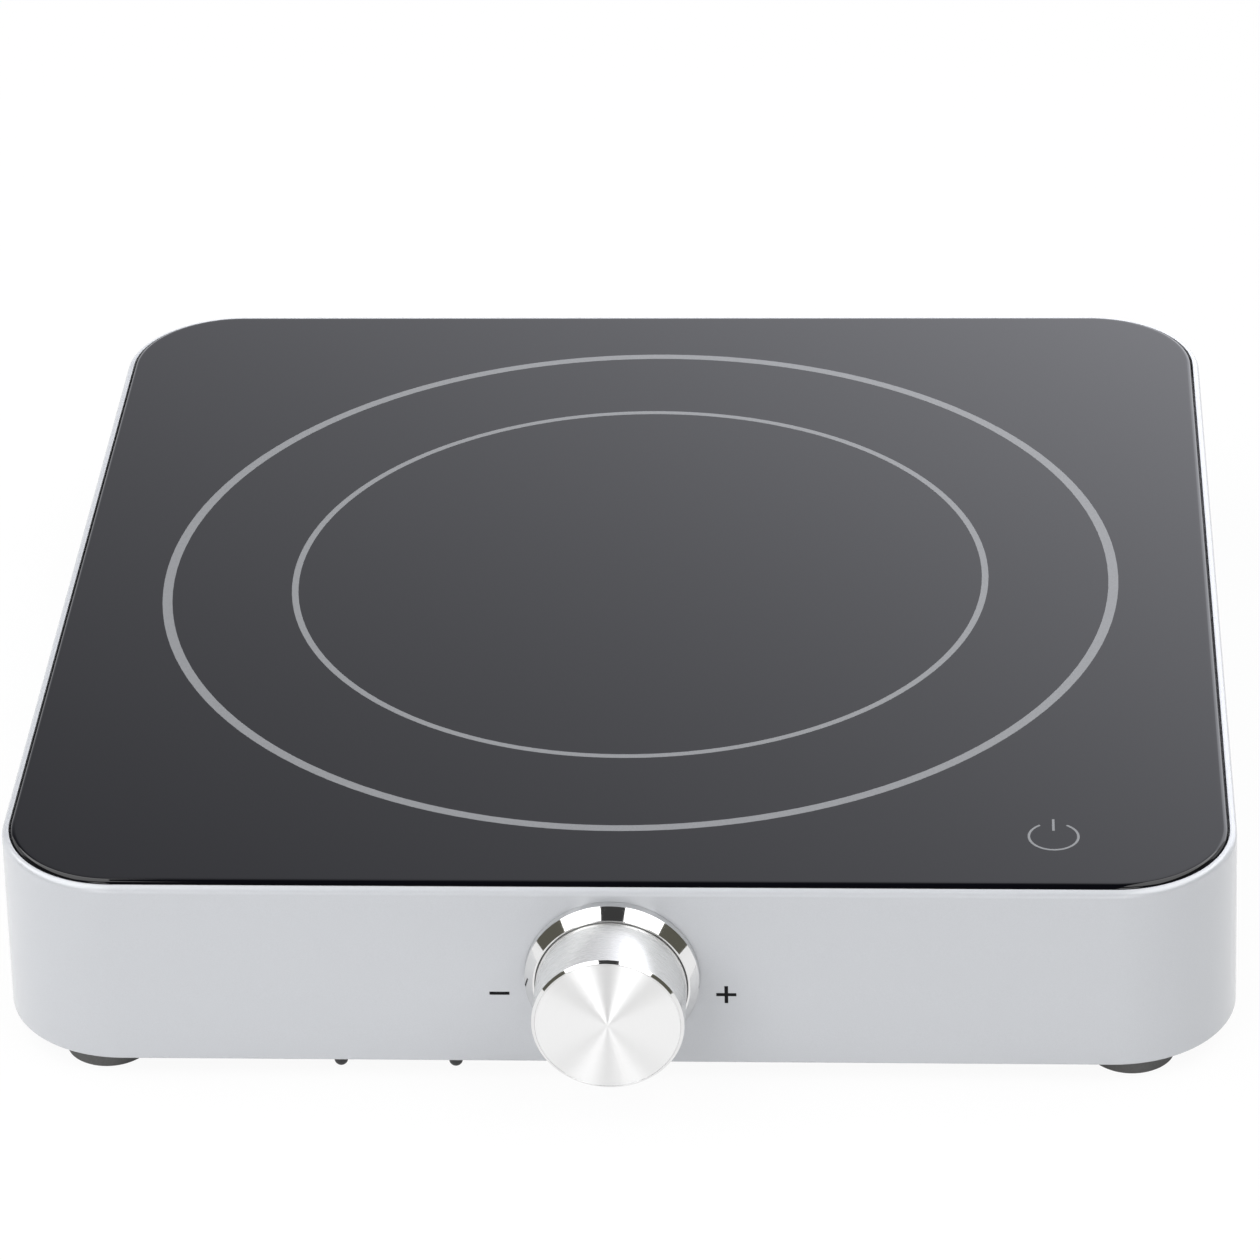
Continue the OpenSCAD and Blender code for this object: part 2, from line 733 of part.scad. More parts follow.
// A box that stands on its lowest corner
module block(x, y, z, w, d, h) {
    translate([x, y, z]) cube([w, d, h]);
}

// Turns a shape made along +Z so that it points out of the front, from depth y
module to_front(y) {
    translate([0, y, z_knob]) rotate([90, 0, 0]) children();
}

// A cross-head screw: the head's underside is at z = 0, the shank points down
module screw(len) {
    difference() {
        cylinder(h = head_h, r = head_r);
        for (a = [0, 90])
            rotate([0, 0, a])
                translate([-head_r * 0.6, -cross_t / 2, head_h - cross_t])
                    cube([head_r * 1.2, cross_t, cross_t + eps]);
    }
    translate([0, 0, -len]) cylinder(h = len + eps, r = screw_r);
}

// The hole that a screw sits in, downwards from z = 0
module screw_hole(len) {
    translate([0, 0, -len]) cylinder(h = len + eps, r = screw_r + screw_gap);
}

// ---- Glass top and its prints ----

module glass_top() {
    color([0.25, 0.26, 0.27]) home() difference() {
        translate([0, 0, z_glass]) rounded_block(glass_w, glass_d, glass_r, glass_t);
        edge_sweep(glass_w, glass_d, glass_r) difference() {
            translate([-glass_edge_r, z_top - glass_edge_r]) square(glass_edge_r + cut);
            translate([-glass_edge_r, z_top - glass_edge_r]) circle(glass_edge_r);
        }
        zone_shape(outer_zone_d, outer_zone_line, print_gap, cut);
        zone_shape(inner_zone_d, inner_zone_line, print_gap, cut);
        power_shape(print_gap, cut);
    }
}

// A zone ring in the top surface; gap widens it and rise lifts its top, for cutting
module zone_shape(d, line, gap, rise) {
    translate([0, 0, z_top - print_t])
        ring(d / 2 + line / 2 + gap, d / 2 - line / 2 - gap, print_t + rise);
}

// The power mark: an open ring and an upright stroke
module power_shape(gap, rise) {
    w = power_line + 2 * gap;
    h = print_t + rise;
    translate([power_x, power_y, z_top - print_t]) {
        rotate([0, 0, 90 + power_opening / 2])
            rotate_extrude(angle = 360 - power_opening)
                translate([power_r - w / 2, 0]) square([w, h]);
        translate([-w / 2, power_stroke_end - power_stroke - gap, 0])
            cube([w, power_stroke + 2 * gap, h]);
    }
}

module outer_zone_ring() {
    color("silver") home() zone_shape(outer_zone_d, outer_zone_line, 0, 0);
}

module inner_zone_ring() {
    color("silver") home() zone_shape(inner_zone_d, inner_zone_line, 0, 0);
}

module power_mark() {
    color("silver") home() power_shape(0, 0);
}

module glass_seal() {
    color([0.15, 0.15, 0.15]) home()
        edge_sweep(glass_w, glass_d, glass_r)
            translate([-seal_inset - seal_w, z_ledge]) square([seal_w, seal_t]);
}

// ---- Housing ----

// Section of the side wall: flared face, rounded rim, and the ledge under the glass
module wall_profile() {
    tuck = 0.005;
    z_c = z_rim - rim_round;
    z_under = z_ledge - ledge_t;
    difference() {
        union() {
            polygon([[wall_flare, z_bot],
                [rim_round * (cos(slope) - 1) - tuck, z_c + rim_round * sin(slope)],
                [-rim_round, z_c], [-wall_t, z_under], [wall_flare - wall_t, z_bot]]);
            translate([-rim_round, z_c]) circle(rim_round);
            translate([-rim_w - ledge_w, z_under]) square([rim_w + ledge_w - wall_t / 2, ledge_t]);
        }
        translate([-2 * ledge_w, z_ledge]) square([2 * ledge_w - rim_w + seam_gap, wall_h]);
    }
}

// A stroke lying in the sloping front face, at x and z
module face_stroke(x, z, w, h, gap, rise) {
    y_face = -body_d / 2 - (z_rim - rim_round - z) * tan(slope);
    translate([x, y_face, z]) rotate([-slope, 0, 0])
        translate([-w / 2 - gap, -rise, -h / 2 - gap])
            cube([w + 2 * gap, print_t + rise, h + 2 * gap]);
}

module minus_shape(gap, rise) {
    face_stroke(-mark_x, z_knob - mark_drop, mark_len, mark_line, gap, rise);
}

module plus_shape(gap, rise) {
    face_stroke(mark_x, z_knob - mark_drop, mark_len, mark_line, gap, rise);
    face_stroke(mark_x, z_knob - mark_drop, mark_line, mark_len, gap, rise);
}

module wall_bosses() {
    z_under = z_ledge - ledge_t;
    for (p = screw_spots) {
        side = sign(p[0]);
        translate([p[0], p[1], z_floor]) cylinder(h = z_under - z_floor + eps, r = boss_r);
        translate([p[0], p[1] - rib_t / 2, z_floor])
            mirror([side < 0 ? 1 : 0, 0, 0]) cube([boss_inset - wall_t / 2, rib_t, z_under - z_floor]);
    }
}

module housing() {
    color([0.8, 0.81, 0.82]) home() difference() {
        union() {
            edge_sweep(body_w, body_d, corner_r) wall_profile();
            wall_bosses();
            to_front(boss_y) cylinder(h = knob_boss_depth - wall_t / 2, r = knob_boss_r);
            gland_shape(body_d / 2 - wall_t / 2, gland_boss_depth - wall_t / 2,
                gland_flange_r + wall_t);
        }
        to_front(seat_y) cylinder(h = seat_depth + wall_flare + cut, r = trim_r + seat_gap);
        to_front(boss_y + cut) cylinder(h = knob_boss_depth + 2 * cut, r = neck_r + neck_gap);
        gland_shape(gland_y + gland_seat + wall_flare + cut, gland_seat + wall_flare + cut,
            gland_flange_r + seat_gap);
        gland_shape(gland_y + cut, gland_boss_depth + 2 * cut, gland_neck_r + neck_gap);
        for (i = [0 : vent_count - 1])
            translate([-vent_shift + (i - (vent_count - 1) / 2) * vent_pitch - vent_w / 2,
                body_d / 2 - 2 * wall_t, z_bot + vent_rise])
                cube([vent_w, 4 * wall_t, vent_h]);
        for (p = screw_spots)
            translate([p[0], p[1], z_floor + screw_bite]) screw_hole(screw_bite + cut);
        minus_shape(print_gap, cut);
        plus_shape(print_gap, cut);
    }
}

module minus_mark() {
    color("black") home() minus_shape(0, 0);
}

module plus_mark() {
    color("black") home() plus_shape(0, 0);
}

// ---- Base cover and feet ----

// The small pegs moulded under the front edge, round at their ends
module edge_pegs() {
    for (x = [-peg_left, -peg_left + peg_pitch])
        translate([x, -body_d / 2 + peg_inset, peg_clear + peg_r]) {
            cylinder(h = z_bot - peg_clear - peg_r + eps, r = peg_r);
            sphere(r = peg_r);
        }
}

// Posts that the boards, the fan and the coil carrier stand on
module base_posts() {
    for (p = board_posts)
        translate([p[0], p[1], z_floor - eps]) cylinder(h = post_h + eps, r = post_r);
    for (p = fan_posts)
        translate([p[0], p[1], z_floor - eps]) cylinder(h = fan_lift + eps, r = post_r);
    for (a = lug_angles)
        rotate([0, 0, a]) translate([lug_at, 0, z_floor - eps])
            cylinder(h = z_carrier - z_floor + eps, r = lug_r);
    for (p = touch_posts)
        translate([p[0], p[1], z_floor - eps]) cylinder(h = z_touch - z_floor + eps, r = post_r);
    for (p = clamp_spots)
        translate([p[0], p[1], z_floor - eps]) cylinder(h = clamp_h + eps, r = post_r);
    for (sx = [-1, 1])
        block(sx * clip_post_x - clip_post_w / 2, control_y - clip_post_w / 2 + board_t / 2,
            z_floor - eps, clip_post_w, clip_post_w, clip_post_h + eps);
}

// The air intake: slots cut inside a circle under the fan
module intake_slots() {
    pitch = slot_w + slot_bar;
    n = floor(tip_r / pitch);
    h = base_t + 2 * cut;
    translate([fan_x, fan_y, z_bot - cut]) intersection() {
        cylinder(h = h, r = tip_r);
        for (i = [-n : n], y = [slot_bar, -tip_r - slot_bar])
            block(i * pitch - slot_w / 2, y, 0, slot_w, tip_r, h);
    }
}

module base_cover() {
    color([0.3, 0.3, 0.31]) home() difference() {
        union() {
            translate([0, 0, z_bot]) rounded_block(base_w, base_d, base_r, base_t);
            edge_pegs();
            base_posts();
        }
        intake_slots();
        for (sx = [-1, 1], sy = [-1, 1])
            translate([sx * foot_x, sy * foot_y, z_bot - cut])
                cylinder(h = base_t + 2 * cut, r = foot_stem_r + foot_fit);
        for (p = screw_spots) translate([p[0], p[1], z_floor + cut]) screw_hole(base_t + 2 * cut);
        for (p = board_posts) translate([p[0], p[1], z_board]) screw_hole(board_bite);
        for (p = fan_posts) translate([p[0], p[1], z_fan]) screw_hole(fan_lift + base_t / 2);
        for (a = lug_angles)
            rotate([0, 0, a]) translate([lug_at, 0, z_carrier]) screw_hole(screw_bite);
        for (p = clamp_spots) translate([p[0], p[1], z_floor + clamp_h]) screw_hole(board_bite);
        block(-control_w / 2 - clip_gap, control_y - clip_gap, z_control,
            control_w + 2 * clip_gap, board_t + 2 * clip_gap, control_h);
    }
}

// A rubber foot: a tapered pad under the base, its stem and its barb
module foot(sx, sy) {
    color([0.2, 0.2, 0.2]) home() translate([sx * foot_x, sy * foot_y, 0]) {
        rotate_extrude() polygon([[0, 0], [foot_tread_r, 0], [foot_tread_r + foot_bevel_w, foot_bevel_h],
            [foot_r, z_bot], [foot_stem_r, z_bot], [foot_stem_r, z_floor + foot_fit],
            [foot_barb_r, z_floor + foot_fit], [foot_stem_r, z_floor + foot_barb_h],
            [0, z_floor + foot_barb_h]]);
    }
}

module foot_front_left() { foot(-1, -1); }
module foot_front_right() { foot(1, -1); }
module foot_rear_left() { foot(-1, 1); }
module foot_rear_right() { foot(1, 1); }

module base_screws() {
    color("dimgray") home()
        for (p = screw_spots)
            translate([p[0], p[1], z_bot]) mirror([0, 0, 1]) screw(base_t + screw_bite - screw_free);
}

// ---- Induction coil under the glass ----

module mica_sheet() {
    color("khaki") home() translate([0, 0, z_glass - mica_t])
        ring(coil_out_r + mica_edge, sensor_r + 2 * sensor_gap, mica_t);
}

module induction_coil() {
    color([0.72, 0.42, 0.2]) home() translate([0, 0, z_wire])
        for (i = [0 : coil_turns - 1])
            rotate_extrude($fn = 96) translate([coil_in_r + i * coil_pitch, 0]) circle(wire_r);
}

// The plate that holds the coil, on three lugs, with windows between the ferrite bars
module coil_carrier() {
    win_in = coil_in_r + window_turns * coil_pitch;
    win_out = coil_out_r - window_turns * coil_pitch;
    h = carrier_t + 2 * cut;
    color([0.85, 0.83, 0.75]) home() difference() {
        translate([0, 0, z_carrier]) linear_extrude(carrier_t) {
            circle(carrier_r, $fn = 96);
            for (a = lug_angles) rotate(a) {
                translate([carrier_r - carrier_edge, -lug_r])
                    square([lug_reach + carrier_edge, 2 * lug_r]);
                translate([lug_at, 0]) circle(lug_r);
            }
        }
        translate([0, 0, z_carrier - cut]) {
            cylinder(h = h, r = sensor_r + sensor_gap);
            for (i = [0 : ferrite_count - 1])
                rotate([0, 0, i * 360 / ferrite_count - window_angle / 2])
                    rotate_extrude(angle = window_angle)
                        translate([win_in, 0]) square([win_out - win_in, h]);
            translate([lead_hole_x, 0, 0]) cylinder(h = h, r = wire_r + lead_hole_gap);
        }
        for (a = lug_angles)
            rotate([0, 0, a]) translate([lug_at, 0, z_plate]) screw_hole(carrier_t + cut);
    }
}

module ferrite_bars() {
    color([0.25, 0.24, 0.24]) home()
        for (i = [0 : ferrite_count - 1])
            rotate([0, 0, (i + 0.5) * 360 / ferrite_count])
                block(coil_in_r + ferrite_in, -ferrite_w / 2, z_ferrite, ferrite_len, ferrite_w, ferrite_t);
}

module coil_sensor() {
    color("white") home() {
        translate([0, 0, z_carrier - sensor_flange_t])
            cylinder(h = sensor_flange_t, r = sensor_r + sensor_flange);
        translate([0, 0, z_carrier - eps]) cylinder(h = z_glass - z_carrier + eps, r = sensor_r);
    }
}

module carrier_screws() {
    color("silver") home()
        for (a = lug_angles)
            rotate([0, 0, a]) translate([lug_at, 0, z_plate]) screw(carrier_t + screw_bite - screw_free);
}

// A quarter turn of lead in the XZ plane; it starts upwards at the origin and turns to +X
module lead_corner() {
    translate([lead_bend, 0, 0]) rotate([90, 0, 0])
        rotate([0, 0, 90]) rotate_extrude(angle = 90) translate([lead_bend, 0]) circle(wire_r);
}

module lead_run(x, z, len, dir) {
    translate([x, 0, z]) rotate(dir == "x" ? [0, 90, 0] : [0, 0, 0]) cylinder(h = len, r = wire_r);
}

// Two leads: one from the outer turn, one from the inner turn under the carrier
module coil_leads() {
    z_end = z_parts + terminal_h;
    drop_x = lead_x;
    color([0.75, 0.2, 0.15]) home() {
        // inner lead: down through the carrier, along under it, and down to its terminal
        translate([lead_hole_x, 0, z_wire - lead_bend]) lead_corner();
        lead_run(lead_hole_x, z_lead + lead_bend, z_wire - z_lead - 2 * lead_bend, "z");
        translate([lead_hole_x, 0, z_lead + lead_bend]) mirror([0, 0, 1]) lead_corner();
        lead_run(lead_hole_x + lead_bend, z_lead, drop_x - lead_hole_x - 2 * lead_bend, "x");
        translate([drop_x, 0, z_lead - lead_bend]) mirror([1, 0, 0]) lead_corner();
        lead_run(drop_x, z_end, z_lead - lead_bend - z_end, "z");
        // outer lead: off the last turn, over the carrier's edge and down
        translate([0, lead_pitch, 0]) {
            x_in = sqrt(coil_out_r * coil_out_r - lead_pitch * lead_pitch) + wire_r + lead_out_gap;
            lead_run(x_in, z_wire, drop_x - lead_bend - x_in, "x");
            translate([drop_x, 0, z_wire - lead_bend]) mirror([1, 0, 0]) lead_corner();
            lead_run(drop_x, z_end, z_wire - lead_bend - z_end, "z");
        }
    }
}

module coil_terminals() {
    color("goldenrod") home()
        for (y = [0, lead_pitch])
            translate([lead_x, y, z_parts]) {
                cylinder(h = terminal_base_h, r = terminal_r + terminal_base_edge);
                cylinder(h = terminal_h, r = terminal_r);
            }
}

// ---- Power board and what it carries ----

module power_board() {
    color([0.55, 0.4, 0.2]) home() difference() {
        block(board_x0, board_y0, z_board, board_w, board_d, board_t);
        for (p = board_posts) translate([p[0], p[1], z_parts]) screw_hole(board_t + cut);
    }
}

// The screws of the power board and of the cord clamp
module board_screws() {
    color("silver") home() {
        for (p = board_posts)
            translate([p[0], p[1], z_parts]) screw(board_t + board_bite - screw_free);
        for (p = clamp_spots)
            translate([p[0], p[1], z_floor + clamp_h + clamp_t])
                screw(clamp_t + board_bite - screw_free);
    }
}

// Puts a part on the board; x and y are measured from the board's front left corner
module on_board(x, y) {
    home() translate([board_x0 + x, board_y0 + y, z_parts]) children();
}

// Finned plate on two end walls, standing over the hot parts
module heat_sink() {
    step = (sink_d - fin_t) / (fin_count - 1);
    color("lightgray") on_board(edge_gap, sink_row) {
        block(0, 0, chip_t, sink_w, sink_d, sink_t);
        for (i = [0 : fin_count - 1])
            block(0, i * step, chip_t + sink_t - eps, sink_w, fin_t, fin_h + eps);
        for (x = [0, sink_w - sink_leg_t])
            block(x, 0, 0, sink_leg_t, sink_d, chip_t + eps);
    }
}

// A flat power part under the heat sink: its case, and pins folded on to the board
module power_chip(x, w, d, pins) {
    color([0.12, 0.12, 0.13]) on_board(edge_gap + x, sink_row + chip_front) {
        cube([w, d, chip_t]);
        for (i = [0 : pins - 1])
            block((i + 0.5) * w / pins - chip_pin_w / 2, -chip_pin_len, 0,
                chip_pin_w, chip_pin_len + eps, chip_pin_t);
    }
}

module power_transistor() {
    power_chip(sink_leg_t + chip_gap, transistor_w, transistor_d, 3);
}

module bridge_rectifier() {
    power_chip(sink_w - sink_leg_t - chip_gap - rectifier_w, rectifier_w, rectifier_d, 4);
}

// A boxed film capacitor, standing on its front left corner
module film_box(x, y, w, d, h) {
    on_board(x + w / 2, y + d / 2) rounded_block(w, d, film_round, h);
}

module resonant_capacitor() {
    color("gold") film_box(board_w - edge_gap - resonant_w, resonant_row, resonant_w, resonant_d,
        film_h);
}

module filter_capacitor() {
    color("gold") film_box(filter_col, edge_gap, filter_w, filter_d, film_h);
}

module line_capacitor() {
    color("steelblue") film_box(board_w - edge_gap - line_w, edge_gap, line_w, line_d, line_h);
}

// A wound toroid lying on the board
module toroid(x, y, r, tube) {
    on_board(x, y) {
        translate([0, 0, tube]) rotate_extrude() translate([r, 0]) circle(tube);
        ring(r, r - tube, tube);
    }
}

module line_choke() {
    color("darkgreen") toroid(edge_gap + line_choke_r + line_choke_tube, line_choke_row,
        line_choke_r, line_choke_tube);
}

module filter_choke() {
    color([0.6, 0.3, 0.15]) toroid(filter_choke_col, filter_choke_row,
        filter_choke_r, filter_choke_tube);
}

module electrolytic_capacitors() {
    color([0.15, 0.2, 0.35])
        for (i = [0 : can_count - 1])
            on_board(post_inset + can_r + i * can_pitch, can_row) {
                cylinder(h = can_h, r = can_r);
                cylinder(h = can_bead_h, r = can_r + can_bead);
            }
}

// Base, winding and core of the small transformer
module standby_transformer() {
    w = transformer_w - 2 * transformer_edge;
    d = transformer_d - 2 * transformer_edge;
    color([0.85, 0.8, 0.3]) on_board(edge_gap, edge_gap) {
        cube([transformer_w, transformer_d, transformer_base]);
        block(transformer_edge, transformer_edge, 0, w, d, transformer_h);
        block(0, (transformer_d - core_h) / 2, (transformer_h - core_h + transformer_base) / 2,
            transformer_w, core_h, core_h);
    }
}

// A glass fuse in two clips
module fuse() {
    color("silver") on_board(board_w - edge_gap - fuse_r, fuse_row) {
        translate([0, 0, fuse_rise]) rotate([-90, 0, 0]) cylinder(h = fuse_len, r = fuse_r);
        for (y = [0, fuse_len - fuse_clip_d])
            block(-fuse_clip_w / 2, y, 0, fuse_clip_w, fuse_clip_d, fuse_clip_h);
    }
}

module terminal_block() {
    color("darkgreen") on_board(board_w - edge_gap - block_w, block_row) difference() {
        cube([block_w, block_d, block_h]);
        for (i = [0 : well_count - 1])
            translate([(i + 0.5) * block_w / well_count, block_d / 2, block_h - well_depth])
                cylinder(h = well_depth + cut, r = well_r);
    }
}

// ---- Control board, encoder and buzzer behind the front wall ----

module control_board() {
    color([0.1, 0.35, 0.2]) home()
        block(-control_w / 2, control_y, z_control, control_w, board_t, control_h);
}

module control_chip() {
    w = control_chip_w;
    color([0.1, 0.1, 0.1]) home()
        block(-control_chip_x - w / 2, control_back, z_knob - w / 2, w, control_chip_t, w);
}

module buzzer() {
    color("black") home() translate([buzzer_x, control_back, z_knob]) rotate([-90, 0, 0])
        difference() {
            cylinder(h = buzzer_t, r = buzzer_r);
            translate([0, 0, buzzer_t / 2]) cylinder(h = buzzer_t, r = buzzer_hole_r);
        }
}

// The encoder's case and threaded neck, bored for the shaft
module encoder_body() {
    neck_len = (boss_y - seat_y) + nut_t + neck_out;
    color("darkgray") home() difference() {
        union() {
            block(-encoder_w / 2, boss_y, z_knob - encoder_w / 2, encoder_w, encoder_t, encoder_w);
            to_front(boss_y + eps) cylinder(h = neck_len, r = neck_r);
        }
        to_front(control_y - encoder_back) cylinder(h = encoder_t + neck_len, r = shaft_r + shaft_gap);
    }
}

module encoder_nut() {
    color("silver") home() to_front(seat_y) difference() {
        cylinder(h = nut_t, r = nut_d / 2, $fn = 6);
        translate([0, 0, -cut]) cylinder(h = nut_t + 2 * cut, r = neck_r + neck_gap);
    }
}

module encoder_shaft() {
    y_back = control_y - encoder_back - shaft_back_gap;
    color("silver") home() to_front(y_back) cylinder(h = y_back - seat_y + shaft_len, r = shaft_r);
}

// Flat cable from its plug on the power board, along the floor and up to the control board
module ribbon_cable() {
    t = ribbon_t;
    z_in = z_parts + ribbon_plug / 2;
    y_in = board_y0 + cut;
    y_drop = board_y0 - ribbon_plug;
    y_rise = control_back + ribbon_rise_run;
    run = z_in - z_floor;
    color("lightsteelblue") home() translate([board_x0 + ribbon_left, 0, 0]) {
        block(-cut, y_in, z_parts, ribbon_w + 2 * cut, ribbon_plug, ribbon_plug);
        rotate([90, 0, 90]) linear_extrude(ribbon_w)
            polygon([[y_in + t, z_in + t], [y_drop, z_in + t], [y_drop - run, z_floor + t],
                [y_rise, z_floor + t], [control_back + 5 * t, z_control + 4 * t],
                [control_back, z_control + 4 * t], [control_back, z_control + 3 * t],
                [control_back + 4.6 * t, z_control + 3 * t], [y_rise - t, z_floor],
                [y_drop - run - t / 2, z_floor], [y_drop - t / 2, z_in], [y_in + t, z_in]]);
    }
}

// ---- Touch sensor under the power mark ----

module touch_board() {
    color([0.1, 0.35, 0.2]) home()
        block(power_x - touch_w / 2, power_y - touch_d / 2, z_touch, touch_w, touch_d, board_t);
}

// A coiled contact between the touch board and the glass, drawn as closed turns
module touch_spring() {
    rise = (spring_h - 2 * spring_wire_r) / spring_turns;
    color("silver") home() translate([power_x, power_y, z_touch + board_t + spring_wire_r])
        for (i = [0 : spring_turns])
            translate([0, 0, i * rise])
                rotate_extrude() translate([spring_r, 0]) circle(spring_wire_r);
}

// Flat cable from under the touch board to the back of the control board
module touch_cable() {
    t = touch_cable_t;
    x0 = power_x - touch_w / 2;
    x1 = control_w / 2 - touch_cable_lap / 2;
    z = z_control + control_h * 2 / 3;
    color("lightsteelblue") home()
        translate([0, control_back + touch_cable_w, 0]) rotate([90, 0, 0])
            linear_extrude(touch_cable_w)
                polygon([[x0 + touch_cable_lap, z_touch], [x0 - touch_cable_lap, z_touch],
                    [x1, z + t], [x1 - touch_cable_lap, z + t], [x1 - touch_cable_lap, z], [x1, z],
                    [x0 - touch_cable_lap, z_touch - t], [x0 + touch_cable_lap, z_touch - t]]);
}

// ---- Cooling fan ----

module fan_frame() {
    color([0.12, 0.12, 0.12]) home() translate([fan_x, fan_y, 0]) difference() {
        union() {
            difference() {
                translate([0, 0, z_fan]) rounded_block(fan_w, fan_w, fan_corner_r, fan_h);
                translate([0, 0, z_fan - cut]) cylinder(h = fan_h + 2 * cut, r = fan_bore_r);
            }
            for (a = [45 : 90 : 315])
                rotate([0, 0, a])
                    block(0, -strut_w / 2, z_motor, fan_bore_r + fan_wall / 2, strut_w, strut_t);
            translate([0, 0, z_motor]) cylinder(h = strut_t, r = fan_hub_r);
        }
        translate([0, 0, z_motor - cut]) cylinder(h = strut_t + 2 * cut, r = pin_r + pin_gap);
        for (p = fan_posts)
            translate([p[0] - fan_x, p[1] - fan_y, z_fan_top]) screw_hole(fan_h + cut);
    }
}

// Hub cup, open towards the motor, with pitched blades trimmed to a round tip
module fan_rotor() {
    h_cup = z_motor - fan_gap - z_cup;
    color([0.16, 0.16, 0.17]) home() translate([fan_x, fan_y, z_cup]) difference() {
        union() {
            cylinder(h = h_cup, r = fan_hub_r);
            intersection() {
                cylinder(h = h_cup, r = tip_r);
                for (i = [0 : blade_count - 1])
                    rotate([0, 0, i * 360 / blade_count])
                        translate([fan_hub_r - cup_t / 2, 0, h_cup / 2]) rotate([blade_pitch, 0, 0])
                            translate([0, -blade_w / 2, -blade_t / 2])
                                cube([tip_r, blade_w, blade_t]);
            }
        }
        translate([0, 0, cup_t]) cylinder(h = h_cup, r = fan_hub_r - cup_t);
        translate([0, 0, -cut]) cylinder(h = cup_t + 2 * cut, r = pin_r);
    }
}

module fan_shaft() {
    color("silver") home() translate([fan_x, fan_y, z_cup]) cylinder(h = z_fan_top - z_cup, r = pin_r);
}

module fan_stator() {
    z_in = z_cup + cup_t + fan_gap;
    color([0.7, 0.4, 0.15]) home() translate([fan_x, fan_y, 0]) difference() {
        translate([0, 0, z_in]) cylinder(h = z_motor - z_in, r = stator_r);
        translate([0, 0, z_in - cut]) cylinder(h = fan_h, r = pin_r + pin_gap);
    }
}

module fan_screws() {
    color("silver") home()
        for (p = fan_posts)
            translate([p[0], p[1], z_fan_top]) screw(fan_h + fan_lift);
}

// Flat two-core lead from the fan, down the baffle, along the floor to the control board
module fan_lead() {
    t = fan_lead_t;
    y0 = fan_y - fan_w / 2 - baffle_gap - baffle_t;
    z_up = z_fan_top - 2 * strut_t;
    z_in = z_control + post_h;
    run = z_in - z_floor;
    color("black") home() translate([fan_x + fan_lead_x, 0, 0]) rotate([90, 0, 90])
        linear_extrude(fan_lead_w)
            polygon([[y0, z_up], [y0, z_floor], [control_back + run, z_floor],
                [control_back, z_in], [control_back, z_in + t],
                [control_back + run + t / 2, z_floor + t], [y0 - t, z_floor + t], [y0 - t, z_up]]);
}

// A plastic wall on three sides of the fan that steers the air to the heat sink
module air_baffle() {
    x0 = fan_x - fan_w / 2 - baffle_gap - baffle_t;
    y0 = fan_y - fan_w / 2 - baffle_gap - baffle_t;
    y1 = fan_y + fan_w / 2 + baffle_gap;
    len = fan_w + baffle_gap + baffle_t + baffle_reach;
    h = z_ferrite - z_floor - baffle_top_gap;
    color([0.9, 0.88, 0.8]) home() {
        block(x0, y0, z_floor, len, baffle_t, h);
        block(x0, y1, z_floor, len, baffle_t, h);
        block(x0, y0, z_floor, baffle_t, y1 - y0 + baffle_t, h);
    }
}

// ---- Cord gland at the rear ----

// A round bar along the gland's axis, forwards from depth y
module gland_shape(y, len, r) {
    translate([gland_x, y, z_gland]) rotate([90, 0, 0]) cylinder(h = len, r = r);
}

module cord_gland() {
    neck_len = gland_y - gland_boss_y + gland_nut_t + gland_neck_out;
    color([0.1, 0.1, 0.1]) home() difference() {
        union() {
            gland_shape(gland_y + gland_flange_t, gland_flange_t, gland_flange_r);
            gland_shape(gland_y + eps, neck_len, gland_neck_r);
        }
        gland_shape(gland_y + gland_flange_t + cut, neck_len + gland_flange_t + 2 * cut, gland_bore_r);
    }
}

module gland_nut() {
    color([0.1, 0.1, 0.1]) home() difference() {
        translate([gland_x, gland_boss_y, z_gland]) rotate([90, 0, 0])
            cylinder(h = gland_nut_t, r = gland_nut_d / 2, $fn = 6);
        gland_shape(gland_boss_y + cut, gland_nut_t + 2 * cut, gland_neck_r + neck_gap);
    }
}

// A bar on two posts, which clamps the cord behind the gland
module cord_clamp() {
    z = z_floor + clamp_h;
    color([0.1, 0.1, 0.1]) home() difference() {
        translate([gland_x, clamp_y, z])
            rounded_block(clamp_pitch + clamp_w, clamp_w, post_r, clamp_t);
        for (p = clamp_spots)
            translate([p[0], p[1], z + clamp_t]) screw_hole(clamp_t + cut);
    }
}

// ---- Knob ----

// Chamfered trim ring on the housing, round the knob
module knob_trim() {
    lip_r = trim_bore_r + trim_lip;
    color("silver") home() to_front(seat_y) rotate_extrude($fn = 96)
        polygon([[trim_bore_r, 0], [trim_r, 0], [trim_r, trim_edge],
            [lip_r, trim_edge + trim_rise], [trim_bore_r, trim_edge + trim_rise]]);
}

